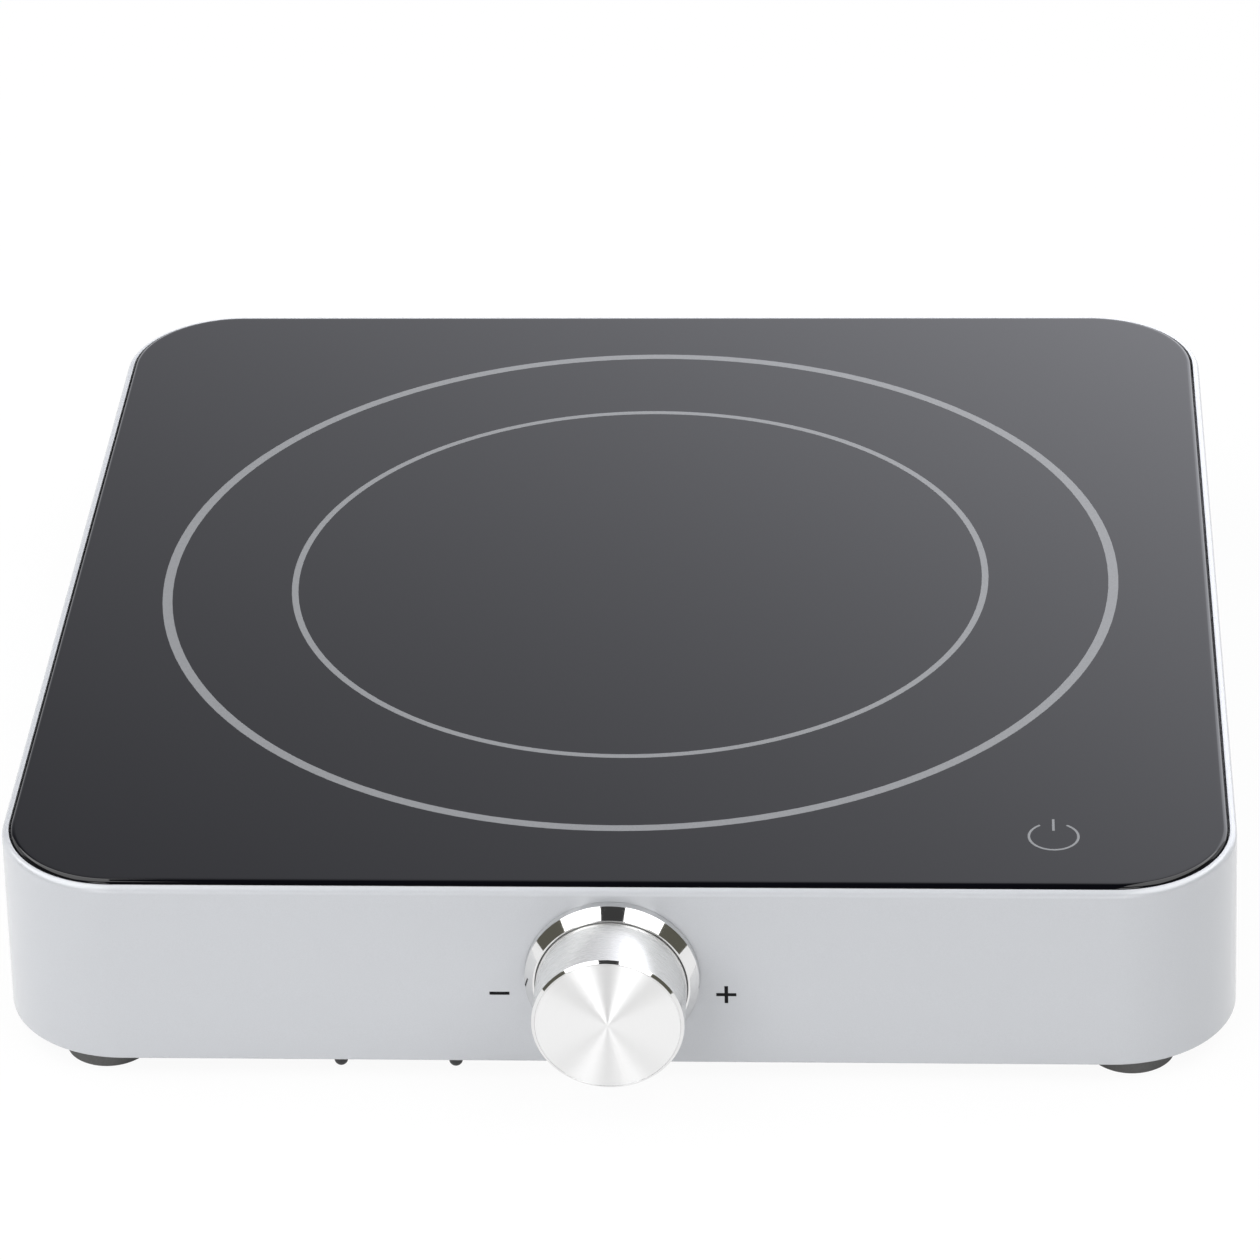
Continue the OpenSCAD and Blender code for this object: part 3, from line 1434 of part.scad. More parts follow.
// Skirt, web and hub in one piece; the hub slides on the encoder's shaft
module knob_body() {
    hub_in = nut_t + neck_out + hub_gap;
    web_in = knob_len + knob_gap - cap_t - knob_web;
    front = knob_gap + knob_len;
    color("silver") home() to_front(seat_y) difference() {
        union() {
            rotate_extrude($fn = 96) polygon([[knob_r - knob_wall, knob_gap], [knob_r, knob_gap],
                [knob_r, front - knob_chamfer], [knob_r - knob_chamfer, front],
                [cap_r, front], [cap_r, front - cap_t], [0, front - cap_t],
                [0, web_in], [knob_r - knob_wall, web_in]]);
            translate([0, 0, hub_in]) cylinder(h = web_in - hub_in + eps, r = hub_r);
            for (a = [0 : 90 : 270])
                rotate([0, 0, a])
                    block(hub_r - knob_wall / 2, -knob_rib_t / 2, web_in - knob_rib_len,
                        knob_r - hub_r, knob_rib_t, knob_rib_len + eps);
        }
        translate([0, 0, hub_in - cut])
            cylinder(h = shaft_len - hub_in + cut + shaft_end_gap, r = shaft_r + hub_fit);
    }
}

module knob_cap() {
    color([0.9, 0.9, 0.9]) home() to_front(seat_y - knob_gap - knob_len + cap_t)
        cylinder(h = cap_t, r = cap_r - cap_gap, $fn = 96);
}

// Split spring ring that grips the hub on the shaft
module knob_clip() {
    color("gray") home() to_front(seat_y - nut_t - neck_out - hub_gap - clip_in)
        rotate([0, 0, clip_opening / 2]) rotate_extrude(angle = 360 - clip_opening)
            translate([hub_r + hub_fit, 0]) square([clip_t, clip_w]);
}

glass_top();
glass_seal();
outer_zone_ring();
inner_zone_ring();
power_mark();
minus_mark();
plus_mark();
housing();
base_cover();
foot_front_left();
foot_front_right();
foot_rear_left();
foot_rear_right();
base_screws();
mica_sheet();
induction_coil();
coil_carrier();
ferrite_bars();
coil_sensor();
carrier_screws();
coil_leads();
power_board();
heat_sink();
power_transistor();
bridge_rectifier();
resonant_capacitor();
filter_capacitor();
line_capacitor();
line_choke();
filter_choke();
electrolytic_capacitors();
standby_transformer();
fuse();
terminal_block();
coil_terminals();
board_screws();
control_board();
control_chip();
buzzer();
encoder_body();
encoder_nut();
encoder_shaft();
ribbon_cable();
touch_board();
touch_spring();
touch_cable();
fan_frame();
fan_rotor();
fan_shaft();
fan_stator();
fan_screws();
fan_lead();
air_baffle();
cord_gland();
gland_nut();
cord_clamp();
knob_trim();
knob_body();
knob_cap();
knob_clip();
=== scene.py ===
import math

import bmesh
import bpy
from mathutils import Matrix, Vector


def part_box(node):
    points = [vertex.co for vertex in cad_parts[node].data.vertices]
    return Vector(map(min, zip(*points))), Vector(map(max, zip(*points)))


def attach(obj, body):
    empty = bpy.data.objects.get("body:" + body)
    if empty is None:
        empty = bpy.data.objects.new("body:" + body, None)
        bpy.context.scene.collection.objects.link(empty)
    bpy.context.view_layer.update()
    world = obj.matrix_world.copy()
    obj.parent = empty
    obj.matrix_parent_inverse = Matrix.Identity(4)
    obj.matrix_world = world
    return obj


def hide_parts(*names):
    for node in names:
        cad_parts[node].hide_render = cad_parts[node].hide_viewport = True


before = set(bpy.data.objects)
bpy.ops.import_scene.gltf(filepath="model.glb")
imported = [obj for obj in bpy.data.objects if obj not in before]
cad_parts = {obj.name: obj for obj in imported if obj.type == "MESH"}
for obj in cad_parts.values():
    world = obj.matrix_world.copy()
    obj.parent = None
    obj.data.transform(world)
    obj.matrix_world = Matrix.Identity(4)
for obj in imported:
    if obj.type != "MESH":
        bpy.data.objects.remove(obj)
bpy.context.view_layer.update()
MM = 0.001


# ---- Camera ----
# A long lens stands in front of the hob and a little to its right, and looks down on the glass.
# Its place is measured from the middle of the glass.
scene = bpy.context.scene
scene.view_settings.view_transform = "Standard"
glass_low, glass_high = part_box("glass_top")
glass_middle = (glass_low + glass_high) / 2
glass_middle.z = glass_high.z
camera_offset = Vector((0.07349, -1.17108, 0.67066))
azimuth, elevation, roll = math.radians(3.728), math.radians(30.314), math.radians(-1.730)
backward = Vector((math.sin(azimuth) * math.cos(elevation), -math.cos(azimuth) * math.cos(elevation),
                   math.sin(elevation)))
camera_data = bpy.data.cameras.new("camera")
camera_data.sensor_width = 36.0
camera_data.lens = 158.43
camera = bpy.data.objects.new("camera", camera_data)
camera.matrix_world = (Matrix.Translation(glass_middle + camera_offset)
                       @ (-backward).to_track_quat("-Z", "Y").to_matrix().to_4x4()
                       @ Matrix.Rotation(roll, 4, "Z"))
scene.collection.objects.link(camera)
scene.camera = camera


# ---- Studio ----
# Two long softboxes hang over the hob with a dark gap between them, and a small lamp fills the front
# from the left. Cards that show only in reflections are what the chrome and the glass mirror, and a
# dark flag shades the right-hand corner. The floor is plain and white.
def join(source, target):
    """Links a socket, or the first output of a node, to an input."""
    target.id_data.links.new(source.outputs[0] if isinstance(source, bpy.types.Node) else source, target)


def add(tree, kind, inputs=None, **settings):
    """A new node with its settings; each input is given a value, or the node or socket it is linked to."""
    made = tree.nodes.new(kind)
    for name, value in settings.items():
        setattr(made, name, value)
    for name, value in (inputs or {}).items():
        if isinstance(value, (bpy.types.Node, bpy.types.NodeSocket)):
            join(value, made.inputs[name])
        else:
            made.inputs[name].default_value = value
    return made


def maths(tree, operation, *values):
    """A maths node on values, each a number or what it is linked to."""
    return add(tree, "ShaderNodeMath", dict(enumerate(values)), operation=operation)


def seen_directly(tree):
    """1 for what the camera sees, itself or in metal and through glass, and 0 for light on the object."""
    path = add(tree, "ShaderNodeLightPath").outputs
    mirrored = maths(tree, "MAXIMUM", path["Is Camera Ray"], path["Is Glossy Ray"])
    return maths(tree, "MAXIMUM", mirrored, path["Is Transmission Ray"])


def bare_material(name):
    """A material with nothing in its tree but the output; also returns the tree and the surface input."""
    material = bpy.data.materials.new(name)
    material.use_nodes = True
    tree = material.node_tree
    tree.nodes.clear()
    return material, tree, add(tree, "ShaderNodeOutputMaterial").inputs["Surface"]


def rectangle(low, high):
    """The four corners of a level or an upright rectangle, in order, from two opposite ones."""
    if low[2] == high[2]:
        return [low, (high[0], low[1], low[2]), high, (low[0], high[1], low[2])]
    return [low, (high[0], high[1], low[2]), high, (low[0], low[1], high[2])]


def stage_card(name, corners, material, reflections_only=True):
    """A flat four-cornered sheet of the studio."""
    sheet = bpy.data.meshes.new(name)
    sheet.from_pydata(corners, [], [range(4)])
    sheet.materials.append(material)
    card = bpy.data.objects.new(name, sheet)
    scene.collection.objects.link(card)
    if reflections_only:
        card.visible_camera = card.visible_diffuse = card.visible_shadow = card.visible_transmission = False
    return card


room_light = 0.345
world = bpy.data.worlds.new("room")
world.use_nodes = True
scene.world = world
tree = world.node_tree
shade = add(tree, "ShaderNodeMapRange", {"Value": seen_directly(tree), "To Min": room_light})
join(shade, tree.nodes["Background"].inputs["Color"])

floor_half, paper_tone, seen_white = 4.0, 0.85, 0.94
floor_paper, tree, surface = bare_material("floor paper")
white_share = maths(tree, "MULTIPLY", seen_directly(tree), seen_white)
paper = add(tree, "ShaderNodeBsdfDiffuse", {"Color": (paper_tone, paper_tone, paper_tone, 1)})
lit_paper = add(tree, "ShaderNodeEmission", {"Strength": 1.0})
join(add(tree, "ShaderNodeMixShader", {0: white_share, 1: paper, 2: lit_paper}), surface)
stage_card("floor", rectangle((-floor_half, -floor_half, 0), (floor_half, floor_half, 0)), floor_paper,
           reflections_only=False)


def glowing(name, colour, strength):
    """A material of a studio card that shows one even colour, whatever light falls on it."""
    material, tree, surface = bare_material(name)
    join(add(tree, "ShaderNodeEmission", {"Color": (*colour, 1), "Strength": strength}), surface)
    return material


black_cloth = glowing("black cloth", (0.05, 0.05, 0.05), 1.0)
olive_cloth = glowing("olive cloth", (0.115, 0.112, 0.09), 1.0)
white_panel = glowing("white panel", (1, 1, 1), 3.0)
wall_x, front_y, back_y, top_z = 2.2, -2.4, 0.95, 2.2
front_low, side_low, side_back = 0.25, 0.1, 0.5
stage_card("ceiling cloth", rectangle((-wall_x, front_y, top_z), (wall_x, back_y, top_z)), black_cloth)
stage_card("front cloth", rectangle((-wall_x, front_y, front_low), (wall_x, front_y, top_z)), black_cloth)
for x in (-wall_x, wall_x):
    stage_card("side cloth", rectangle((x, front_y, side_low), (x, side_back, top_z)), olive_cloth)
panel_y, panel_low, panel_high = front_y + 0.05, 0.02, 1.2
for low_left, low_right, high_left, high_right in ((-0.76, -0.375, -1.55, -0.70), (0.12, 0.56, 0.40, 1.36)):
    stage_card("front panel", [(low_left, panel_y, panel_low), (low_right, panel_y, panel_low),
                               (high_right, panel_y, panel_high), (high_left, panel_y, panel_high)],
               white_panel)

# The card at the back is graded: its light falls off to the left and upwards, and stops at a limit.
fall_off, near_level, brightest = (1.58, 0.0, -1.8), 1.45, 2.4
card_half, card_y, card_low = 1.6, 1.2, 0.02
graded_card, tree, surface = bare_material("graded card")
place = add(tree, "ShaderNodeTexCoord").outputs["Object"]
slope = add(tree, "ShaderNodeVectorMath", {0: place, 1: fall_off}, operation="DOT_PRODUCT")
level = maths(tree, "ADD", slope.outputs["Value"], near_level)
strength = maths(tree, "MINIMUM", maths(tree, "EXPONENT", level), brightest)
join(add(tree, "ShaderNodeEmission", {"Color": (0.97, 0.98, 1.05, 1), "Strength": strength}), surface)
stage_card("graded card", rectangle((-card_half, card_y, card_low), (card_half, card_y, top_z)), graded_card)


def softbox(name, place, aim, width, length, radiance):
    """A rectangular lamp of an even radiance that points at a place."""
    lamp = bpy.data.lights.new(name, "AREA")
    lamp.shape = "RECTANGLE"
    lamp.size, lamp.size_y = width, length
    lamp.energy = radiance * math.pi * width * length
    hung = bpy.data.objects.new(name, lamp)
    hung.location = place
    hung.rotation_mode = "QUATERNION"
    hung.rotation_quaternion = (Vector(aim) - Vector(place)).to_track_quat("-Z", "Y")
    scene.collection.objects.link(hung)
    return hung


swing, reach, over_y = math.radians(34), 1.5, -0.2
for side in (-1, 1):
    softbox("long softbox", (side * reach * math.sin(swing), over_y, reach * math.cos(swing)),
            aim=(0, over_y, 0), width=2.2, length=1.16, radiance=2.35)
fill = softbox("front fill", (-0.95, -1.6, 0.6), aim=(0, 0, 0.03), width=1.0, length=0.8, radiance=3.05)
fill.visible_glossy = False
flag_x, flag_front, flag_back, flag_height = 0.68, -0.8, 0.6, 0.45
flag = stage_card("dark flag", rectangle((flag_x, flag_front, 0), (flag_x, flag_back, flag_height)),
                  black_cloth)
flag.visible_glossy, flag.visible_diffuse, flag.visible_shadow = False, True, True


# ---- Housing ----
# One moulded frame: four flared walls, a round rim and a ledge that the glass is bonded to. It is
# plastic with a fine satin silver paint. Six bosses take the base screws, and two more carry the
# knob's encoder and the cord gland.
def finish(name, colour, roughness, metallic=0.0):
    """A material with one Principled shader, set to a colour, a roughness and a metal share."""
    material = bpy.data.materials.new(name)
    material.use_nodes = True
    shader = material.node_tree.nodes["Principled BSDF"]
    shader.inputs["Base Color"].default_value = (*colour, 1)
    shader.inputs["Roughness"].default_value = roughness
    shader.inputs["Metallic"].default_value = metallic
    return material, shader


def object_place(tree, scale=(1, 1, 1)):
    """Object coordinates, stretched by a scale along each axis."""
    place = add(tree, "ShaderNodeTexCoord").outputs["Object"]
    return add(tree, "ShaderNodeMapping", {"Vector": place, "Scale": scale})


def noise_in(tree, size, detail, stretch=(1, 1, 1)):
    """Noise of a size in metres, stretched along the axes that have less than 1."""
    return add(tree, "ShaderNodeTexNoise", {"Vector": object_place(tree, stretch), "Scale": 1 / size,
                                            "Detail": detail})


def roughen(shader, pattern, low, high):
    """Lets the roughness follow the middle of a pattern's range, from low to high."""
    join(add(shader.id_data, "ShaderNodeMapRange", {"Value": pattern, "From Min": 0.3, "From Max": 0.7,
                                                    "To Min": low, "To Max": high}),
         shader.inputs["Roughness"])


def emboss(shader, pattern, height, strength=1.0):
    """Raises the surface by a pattern, to a height in metres."""
    join(add(shader.id_data, "ShaderNodeBump", {"Height": pattern, "Strength": strength,
                                                "Distance": height}), shader.inputs["Normal"])


def grained(name, colour, roughness, size, tint, relief, polish=0.15, metallic=0.0, stretch=(1, 1, 1)):
    """A finish with a noise of a size in millimetres. It shifts the colour by the share tint and the
    roughness by the share polish, and raises the surface by a relief in millimetres."""
    material, shader = finish(name, colour, roughness, metallic)
    noise = noise_in(material.node_tree, size * MM, 3.0, stretch)
    noise.inputs["Roughness"].default_value = 0.6
    ramp = add(material.node_tree, "ShaderNodeValToRGB", {"Fac": noise})
    for mark, place, share in zip(ramp.color_ramp.elements, (0.3, 0.7), (1 - tint, 1 + tint)):
        mark.position = place
        mark.color = (*(min(1, c * share) for c in colour), 1)
    join(ramp, shader.inputs["Base Color"])
    roughen(shader, noise, roughness * (1 - polish), roughness * (1 + polish))
    emboss(shader, noise, relief * MM)
    return material


def filleted(corners, steps=4):
    """A closed outline through corners (across, up, fillet radius)."""
    outline = []
    for i, (across, up, radius) in enumerate(corners):
        corner = Vector((across, up))
        if not radius:
            outline.append(corner)
            continue
        before = (Vector(corners[i - 1][:2]) - corner).normalized()
        after = (Vector(corners[(i + 1) % len(corners)][:2]) - corner).normalized()
        half = before.angle(after) / 2
        middle = corner + (before + after).normalized() * radius / math.sin(half)
        start, end = (corner + side * radius / math.tan(half) - middle for side in (before, after))
        outline += [middle + start.slerp(end, k / steps).normalized() * radius for k in range(steps + 1)]
    return outline


def arc(middle, radius, start, end, steps):
    """Points on a circle from one angle to another, in degrees."""
    turns = [math.radians(start + (end - start) * k / steps) for k in range(steps + 1)]
    return [Vector((middle[0] + radius * math.cos(t), middle[1] + radius * math.sin(t))) for t in turns]


def turned(into, outline, place, axis, segments=96):
    """Adds a shape turned on a lathe to a mesh: outline holds (radius, height) along an axis from a place.
    It is closed by its own last edge, and a radius of nought is a pole."""
    aim = Vector(axis).to_track_quat("Z", "Y").to_matrix()
    rings = []
    for radius, height in outline:
        count = segments if radius > 1e-7 else 1
        angles = [math.tau * k / segments for k in range(count)]
        rings.append([into.verts.new(Vector(place) + aim @ Vector((
            radius * math.cos(angle), radius * math.sin(angle), height))) for angle in angles])
    faces = []
    for low, high in zip(rings, rings[1:] + rings[:1]):
        for k in range(segments if len(low) + len(high) > 2 else 0):
            n = k + 1
            corners = [low[k % len(low)], low[n % len(low)], high[n % len(high)], high[k % len(high)]]
            corners = [c for i, c in enumerate(corners) if c not in corners[:i]]
            faces.append(into.faces.new(corners))
    bmesh.ops.recalc_face_normals(into, faces=faces)


def skinned(loops):
    """A mesh with a closed skin over a stack of loops of points, flat at both ends."""
    shape = bmesh.new()
    rows = [[shape.verts.new(point) for point in loop] for loop in loops]
    for near, far in zip(rows, rows[1:]):
        for k in range(len(near)):
            n = (k + 1) % len(near)
            shape.faces.new((near[k], near[n], far[n], far[k]))
    shape.faces.new(rows[0])
    shape.faces.new(rows[-1])
    bmesh.ops.recalc_face_normals(shape, faces=shape.faces)
    return shape


def box(into, low, high):
    """Adds a box between two corners to a mesh."""
    low, high = Vector(low), Vector(high)
    made = bmesh.ops.create_cube(into, size=1)["verts"]
    for vert in made:
        vert.co = (low + high) / 2 + Vector(c * s for c, s in zip(vert.co, high - low))


def piece_from(name, shape, material=None):
    """An object from a bmesh, which is then used up."""
    solid = bpy.data.meshes.new(name)
    shape.to_mesh(solid)
    shape.free()
    piece = bpy.data.objects.new(name, solid)
    scene.collection.objects.link(piece)
    if material:
        solid.materials.append(material)
    return piece


def settle(piece, sharp=32):
    """Makes a piece a plain smooth mesh with sharp edges kept, its flat faces shaded flat."""
    for weigh in (False, True):
        if weigh:
            piece.modifiers.new("weigh", "WEIGHTED_NORMAL").keep_sharp = True
        solid = bpy.data.meshes.new_from_object(piece.evaluated_get(bpy.context.evaluated_depsgraph_get()))
        piece.modifiers.clear()
        piece.data = solid
        if not weigh:
            solid.polygons.foreach_set("use_smooth", [True] * len(solid.polygons))
            solid.set_sharp_from_angle(angle=math.radians(sharp))
    return piece


def new_tree(name, **kinds):
    """A geometry tree with named inputs; returns it with its inputs' sockets and its output."""
    tree = bpy.data.node_groups.new(name, "GeometryNodeTree")
    tree.interface.new_socket("Geometry", in_out="OUTPUT", socket_type="NodeSocketGeometry")
    for label, kind in kinds.items():
        tree.interface.new_socket(label, in_out="INPUT", socket_type="NodeSocket" + kind)
    return tree, add(tree, "NodeGroupInput").outputs, add(tree, "NodeGroupOutput").inputs["Geometry"]


def shown_in(tree, sizes, *names):
    """The shapes of the objects that a tree is given, by the names of its inputs."""
    return {name: add(tree, "GeometryNodeObjectInfo", {"Object": sizes[name]}).outputs["Geometry"]
            for name in names}


def finish_tree(tree, geometry, material, result):
    """Ends a tree: instances become real, and the material is set."""
    real = add(tree, "GeometryNodeRealizeInstances", {"Geometry": geometry})
    join(add(tree, "GeometryNodeSetMaterial", {"Geometry": real, "Material": material}), result)


def grow(name, tree, **values):
    """Runs a tree with its inputs set, and returns the result as a piece with a plain mesh. The helper
    objects that the tree was given are used up."""
    piece = bpy.data.objects.new(name, bpy.data.meshes.new(name))
    scene.collection.objects.link(piece)
    modifier = piece.modifiers.new(name, "NODES")
    modifier.node_group = tree
    for socket in tree.interface.items_tree:
        if socket.in_out == "INPUT":
            modifier[socket.identifier] = values[socket.name]
    settle(piece)
    for used in values.values():
        if isinstance(used, bpy.types.Object):
            bpy.data.objects.remove(used)
    return piece


def outline_object(name, points):
    """A closed flat curve through points, for a tree to use."""
    curve = bpy.data.curves.new(name, "CURVE")
    spline = curve.splines.new("POLY")
    spline.points.add(len(points) - 1)
    for point, (across, up) in zip(spline.points, points):
        point.co = (across, up, 0, 1)
    spline.use_cyclic_u = True
    return bpy.data.objects.new(name, curve)


housing_low, housing_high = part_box("housing")
glass_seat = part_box("glass_seal")[0].z
flare, wall, rim_round, rim_width = 1.0 * MM, 2.4 * MM, 1.5 * MM, 1.6 * MM
ledge_width, ledge_thick, ledge_round, corner_radius = 8.4 * MM, 2.0 * MM, 0.3 * MM, 28.0 * MM
body_width = housing_high.x - housing_low.x - 2 * flare
body_middle = (housing_low + housing_high) / 2
body_front, body_rear = housing_low.y + flare, housing_high.y - flare
bottom, rim_top = housing_low.z, housing_high.z
rim_z = rim_top - rim_round

ledge_under, ledge_edge, wall_steps = glass_seat - ledge_thick, -rim_width - ledge_width, 22
section = filleted([(-rim_width, glass_seat, 0), (ledge_edge, glass_seat, ledge_round),
                    (ledge_edge, ledge_under, ledge_round), (-wall, ledge_under, 0.6 * MM),
                    (flare - wall, bottom, 0.3 * MM), (flare, bottom, 0.7 * MM), (0, rim_z, 0)])
rim_start, rim_steps = 8, 9
section += arc((-rim_round, rim_z), rim_round, rim_start, 90, rim_steps) + [Vector((-rim_width, rim_top))]

# Six bosses for the base screws, each with a rib to the wall; a boss for the knob and one for the cord.
shape = bmesh.new()
screws_low, screws_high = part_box("base_screws")
head_radius, pilot_radius, boss_radius, boss_rib = 2.8 * MM, 1.42 * MM, 4.0 * MM, 1.2 * MM
boss_chamfer, into_ledge = 0.3 * MM, 0.5 * MM
boss_foot, boss_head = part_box("air_baffle")[0].z, ledge_under + into_ledge
screw_row = [screws_low.y + head_radius, (screws_low.y + screws_high.y) / 2, screws_high.y - head_radius]
screw_places = [(side * (screws_high.x - head_radius), y) for side in (-1, 1) for y in screw_row]
for x, y in screw_places:
    turned(shape, [(0, boss_foot), (boss_radius - boss_chamfer, boss_foot),
                   (boss_radius, boss_foot + boss_chamfer), (boss_radius, boss_head), (0, boss_head)],
           (x, y, 0), (0, 0, 1), segments=32)
    reach = math.copysign(body_width / 2 - wall / 2, x)
    box(shape, (min(x, reach), y - boss_rib / 2, boss_foot + MM),
        (max(x, reach), y + boss_rib / 2, ledge_under + 0.4 * MM))


def wall_boss(into, radius, root, face, axis):
    """Adds a round boss that stands in from a wall, with a small chamfer."""
    chamfer = 0.4 * MM
    shoulder = face - math.copysign(chamfer, face - root)
    turned(into, [(0, root), (radius, root), (radius, shoulder), (radius - chamfer, face), (0, face)],
           axis, (0, 1, 0), segments=64)


def stepped_hole(into, bore, inner, seat_radius, seat, outer, axis, segments):
    """Adds what a hole and the wider seat outside it take away."""
    turned(into, [(0, inner), (bore, inner), (bore, seat), (seat_radius, seat), (seat_radius, outer),
                  (0, outer)], axis, (0, 1, 0), segments)


encoder_low, encoder_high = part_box("encoder_body")
encoder_depth, knob_boss_radius, encoder_bore = 6.5 * MM, 11 * MM, 3.55 * MM
knob_boss_face = encoder_high.y - encoder_depth
trim_seat, trim_seat_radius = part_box("knob_trim")[1].y, 19.72 * MM
knob_axis = (0, 0, (encoder_low.z + encoder_high.z) / 2)
wall_boss(shape, knob_boss_radius, body_front + wall / 2, knob_boss_face, knob_axis)
gland_low, gland_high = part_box("cord_gland")
gland_boss_radius, gland_bore, gland_boss_face = 11.4 * MM, 6.45 * MM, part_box("gland_nut")[1].y
gland_flange, gland_seat_radius = 2.4 * MM, 9.15 * MM
gland_seat = gland_high.y - gland_flange
gland_axis = ((gland_low.x + gland_high.x) / 2, 0, (gland_low.z + gland_high.z) / 2)
wall_boss(shape, gland_boss_radius, body_rear - wall / 2, gland_boss_face, gland_axis)
bosses = piece_from("bosses", shape)

# What is bored and milled: pilot holes, the seats and holes of the knob and the gland, and the pockets
# that the printed minus and plus fill.
shape = bmesh.new()
pilot_end, pilot_tip, outside = screws_high.z + 0.4 * MM, screws_high.z + 0.8 * MM, 4 * MM
for x, y in screw_places:
    turned(shape, [(0, boss_foot - MM), (pilot_radius, boss_foot - MM), (pilot_radius, pilot_end),
                   (0, pilot_tip)], (x, y, 0), (0, 0, 1), segments=24)
stepped_hole(shape, encoder_bore, knob_boss_face + MM, trim_seat_radius, trim_seat, trim_seat - outside,
             knob_axis, segments=128)
stepped_hole(shape, gland_bore, gland_boss_face - MM, gland_seat_radius, gland_seat, gland_seat + outside,
             gland_axis, segments=64)
print_clearance, mark_line = 0.02 * MM, 0.8 * MM
for name in ("minus_mark", "plus_mark"):
    low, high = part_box(name)
    middle = (low + high) / 2
    reach = (high.x - low.x) / 2 + print_clearance
    half = mark_line / 2 + print_clearance
    bars = [(reach, half)] + ([(half, reach)] if name == "plus_mark" else [])
    for x, z in bars:
        box(shape, (middle.x - x, low.y - MM, middle.z - z), (middle.x + x, high.y, middle.z + z))
cutters = piece_from("cutters", shape)

# One outlet slot, with a small chamfer outside. It leans with the wall.
vent_width, vent_height, vent_pitch, vent_count = 3 * MM, 20 * MM, 8 * MM, 20
vent_middle = Vector((-24 * MM, body_rear, bottom + 21 * MM))
vent_chamfer, vent_overshoot = 0.4 * MM, 0.8 * MM
wall_slope = flare / (rim_z - bottom)
face = flare - wall_slope * (vent_middle.z - bottom)
straight, round_steps = (vent_height - vent_width) / 2, 8
rounds = [(vent_width / 2 * math.cos(t), vent_width / 2 * math.sin(t) + side * straight)
          for side, begin in ((1, 0), (-1, math.pi))
          for t in (begin + math.pi * k / round_steps for k in range(round_steps + 1))]
vent = piece_from("vent", skinned([
    [(across * (1 + 2 * wider / vent_width), depth - wall_slope * up, up * (1 + 2 * wider / vent_height))
     for across, up in rounds]
    for depth, wider in ((-2 * wall, 0), (face - vent_chamfer, 0),
                         (face + vent_overshoot, vent_chamfer + vent_overshoot))]))

silver_paint = grained("satin silver paint", (0.527, 0.541, 0.568), 0.36, metallic=0.15, size=0.25,
                       tint=0.03, polish=0.12, relief=0.002)
shader = silver_paint.node_tree.nodes["Principled BSDF"]
shader.inputs["Coat Weight"].default_value = 0.7
shader.inputs["Coat Roughness"].default_value = 0.14

tree, sizes, result = new_tree(
    "moulded frame", Width="Float", Depth="Float", Corner="Float", Section="Object", Bosses="Object",
    Cutters="Object", Vent="Object", Vents="Int", Pitch="Float", VentStart="Vector", Middle="Vector",
    Material="Material")
path = add(tree, "GeometryNodeCurvePrimitiveQuadrilateral", {"Width": sizes["Width"],
                                                             "Height": sizes["Depth"]})
rounded = add(tree, "GeometryNodeFilletCurve", {"Curve": path, "Radius": sizes["Corner"],
                                                "Count": wall_steps, "Limit Radius": True}, mode="POLY")
shown = shown_in(tree, sizes, "Section", "Bosses", "Cutters", "Vent")
walls = add(tree, "GeometryNodeCurveToMesh", {"Curve": rounded, "Profile Curve": shown["Section"]})
walls = add(tree, "GeometryNodeFlipFaces", {"Mesh": walls})
walls = add(tree, "GeometryNodeTransform", {"Geometry": walls, "Translation": sizes["Middle"]})
whole = add(tree, "GeometryNodeMeshBoolean", {"Mesh 2": walls, "Self Intersection": True},
            operation="UNION", solver="EXACT")
join(shown["Bosses"], whole.inputs["Mesh 2"])
apart = add(tree, "ShaderNodeCombineXYZ", {"X": sizes["Pitch"]})
line = add(tree, "GeometryNodeMeshLine", {"Count": sizes["Vents"], "Start Location": sizes["VentStart"],
                                          "Offset": apart})
slots = add(tree, "GeometryNodeInstanceOnPoints", {"Points": line, "Instance": shown["Vent"]})
slots = add(tree, "GeometryNodeRealizeInstances", {"Geometry": slots})
pierced = add(tree, "GeometryNodeMeshBoolean", {"Mesh 1": whole, "Mesh 2": slots, "Self Intersection": True},
              operation="DIFFERENCE", solver="EXACT")
join(shown["Cutters"], pierced.inputs["Mesh 2"])
finish_tree(tree, pierced, sizes["Material"], result)
profile = outline_object("profile", [(p.x, -p.y) for p in section])
housing = grow("housing_frame", tree, Width=body_width, Depth=body_rear - body_front,
               Corner=corner_radius, Section=profile, Bosses=bosses, Cutters=cutters, Vent=vent,
               Vents=vent_count, Pitch=vent_pitch, Middle=(body_middle.x, body_middle.y, 0),
               VentStart=vent_middle - Vector(((vent_count - 1) / 2 * vent_pitch, 0, 0)),
               Material=silver_paint)
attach(housing, "hob")
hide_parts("housing")


# ---- Glass top ----
# One sheet of black glass ceramic with a polished pencil edge, bonded to the ledge with silicone. Two
# cooking-zone rings and the power mark are fired on it in grey, and stand a hair above the glass.
def coat(material, *names):
    """Gives CAD nodes a material."""
    for name in names:
        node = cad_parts[name]
        if not node.material_slots:
            node.data.materials.append(material)
        for place in node.material_slots:
            place.material = material


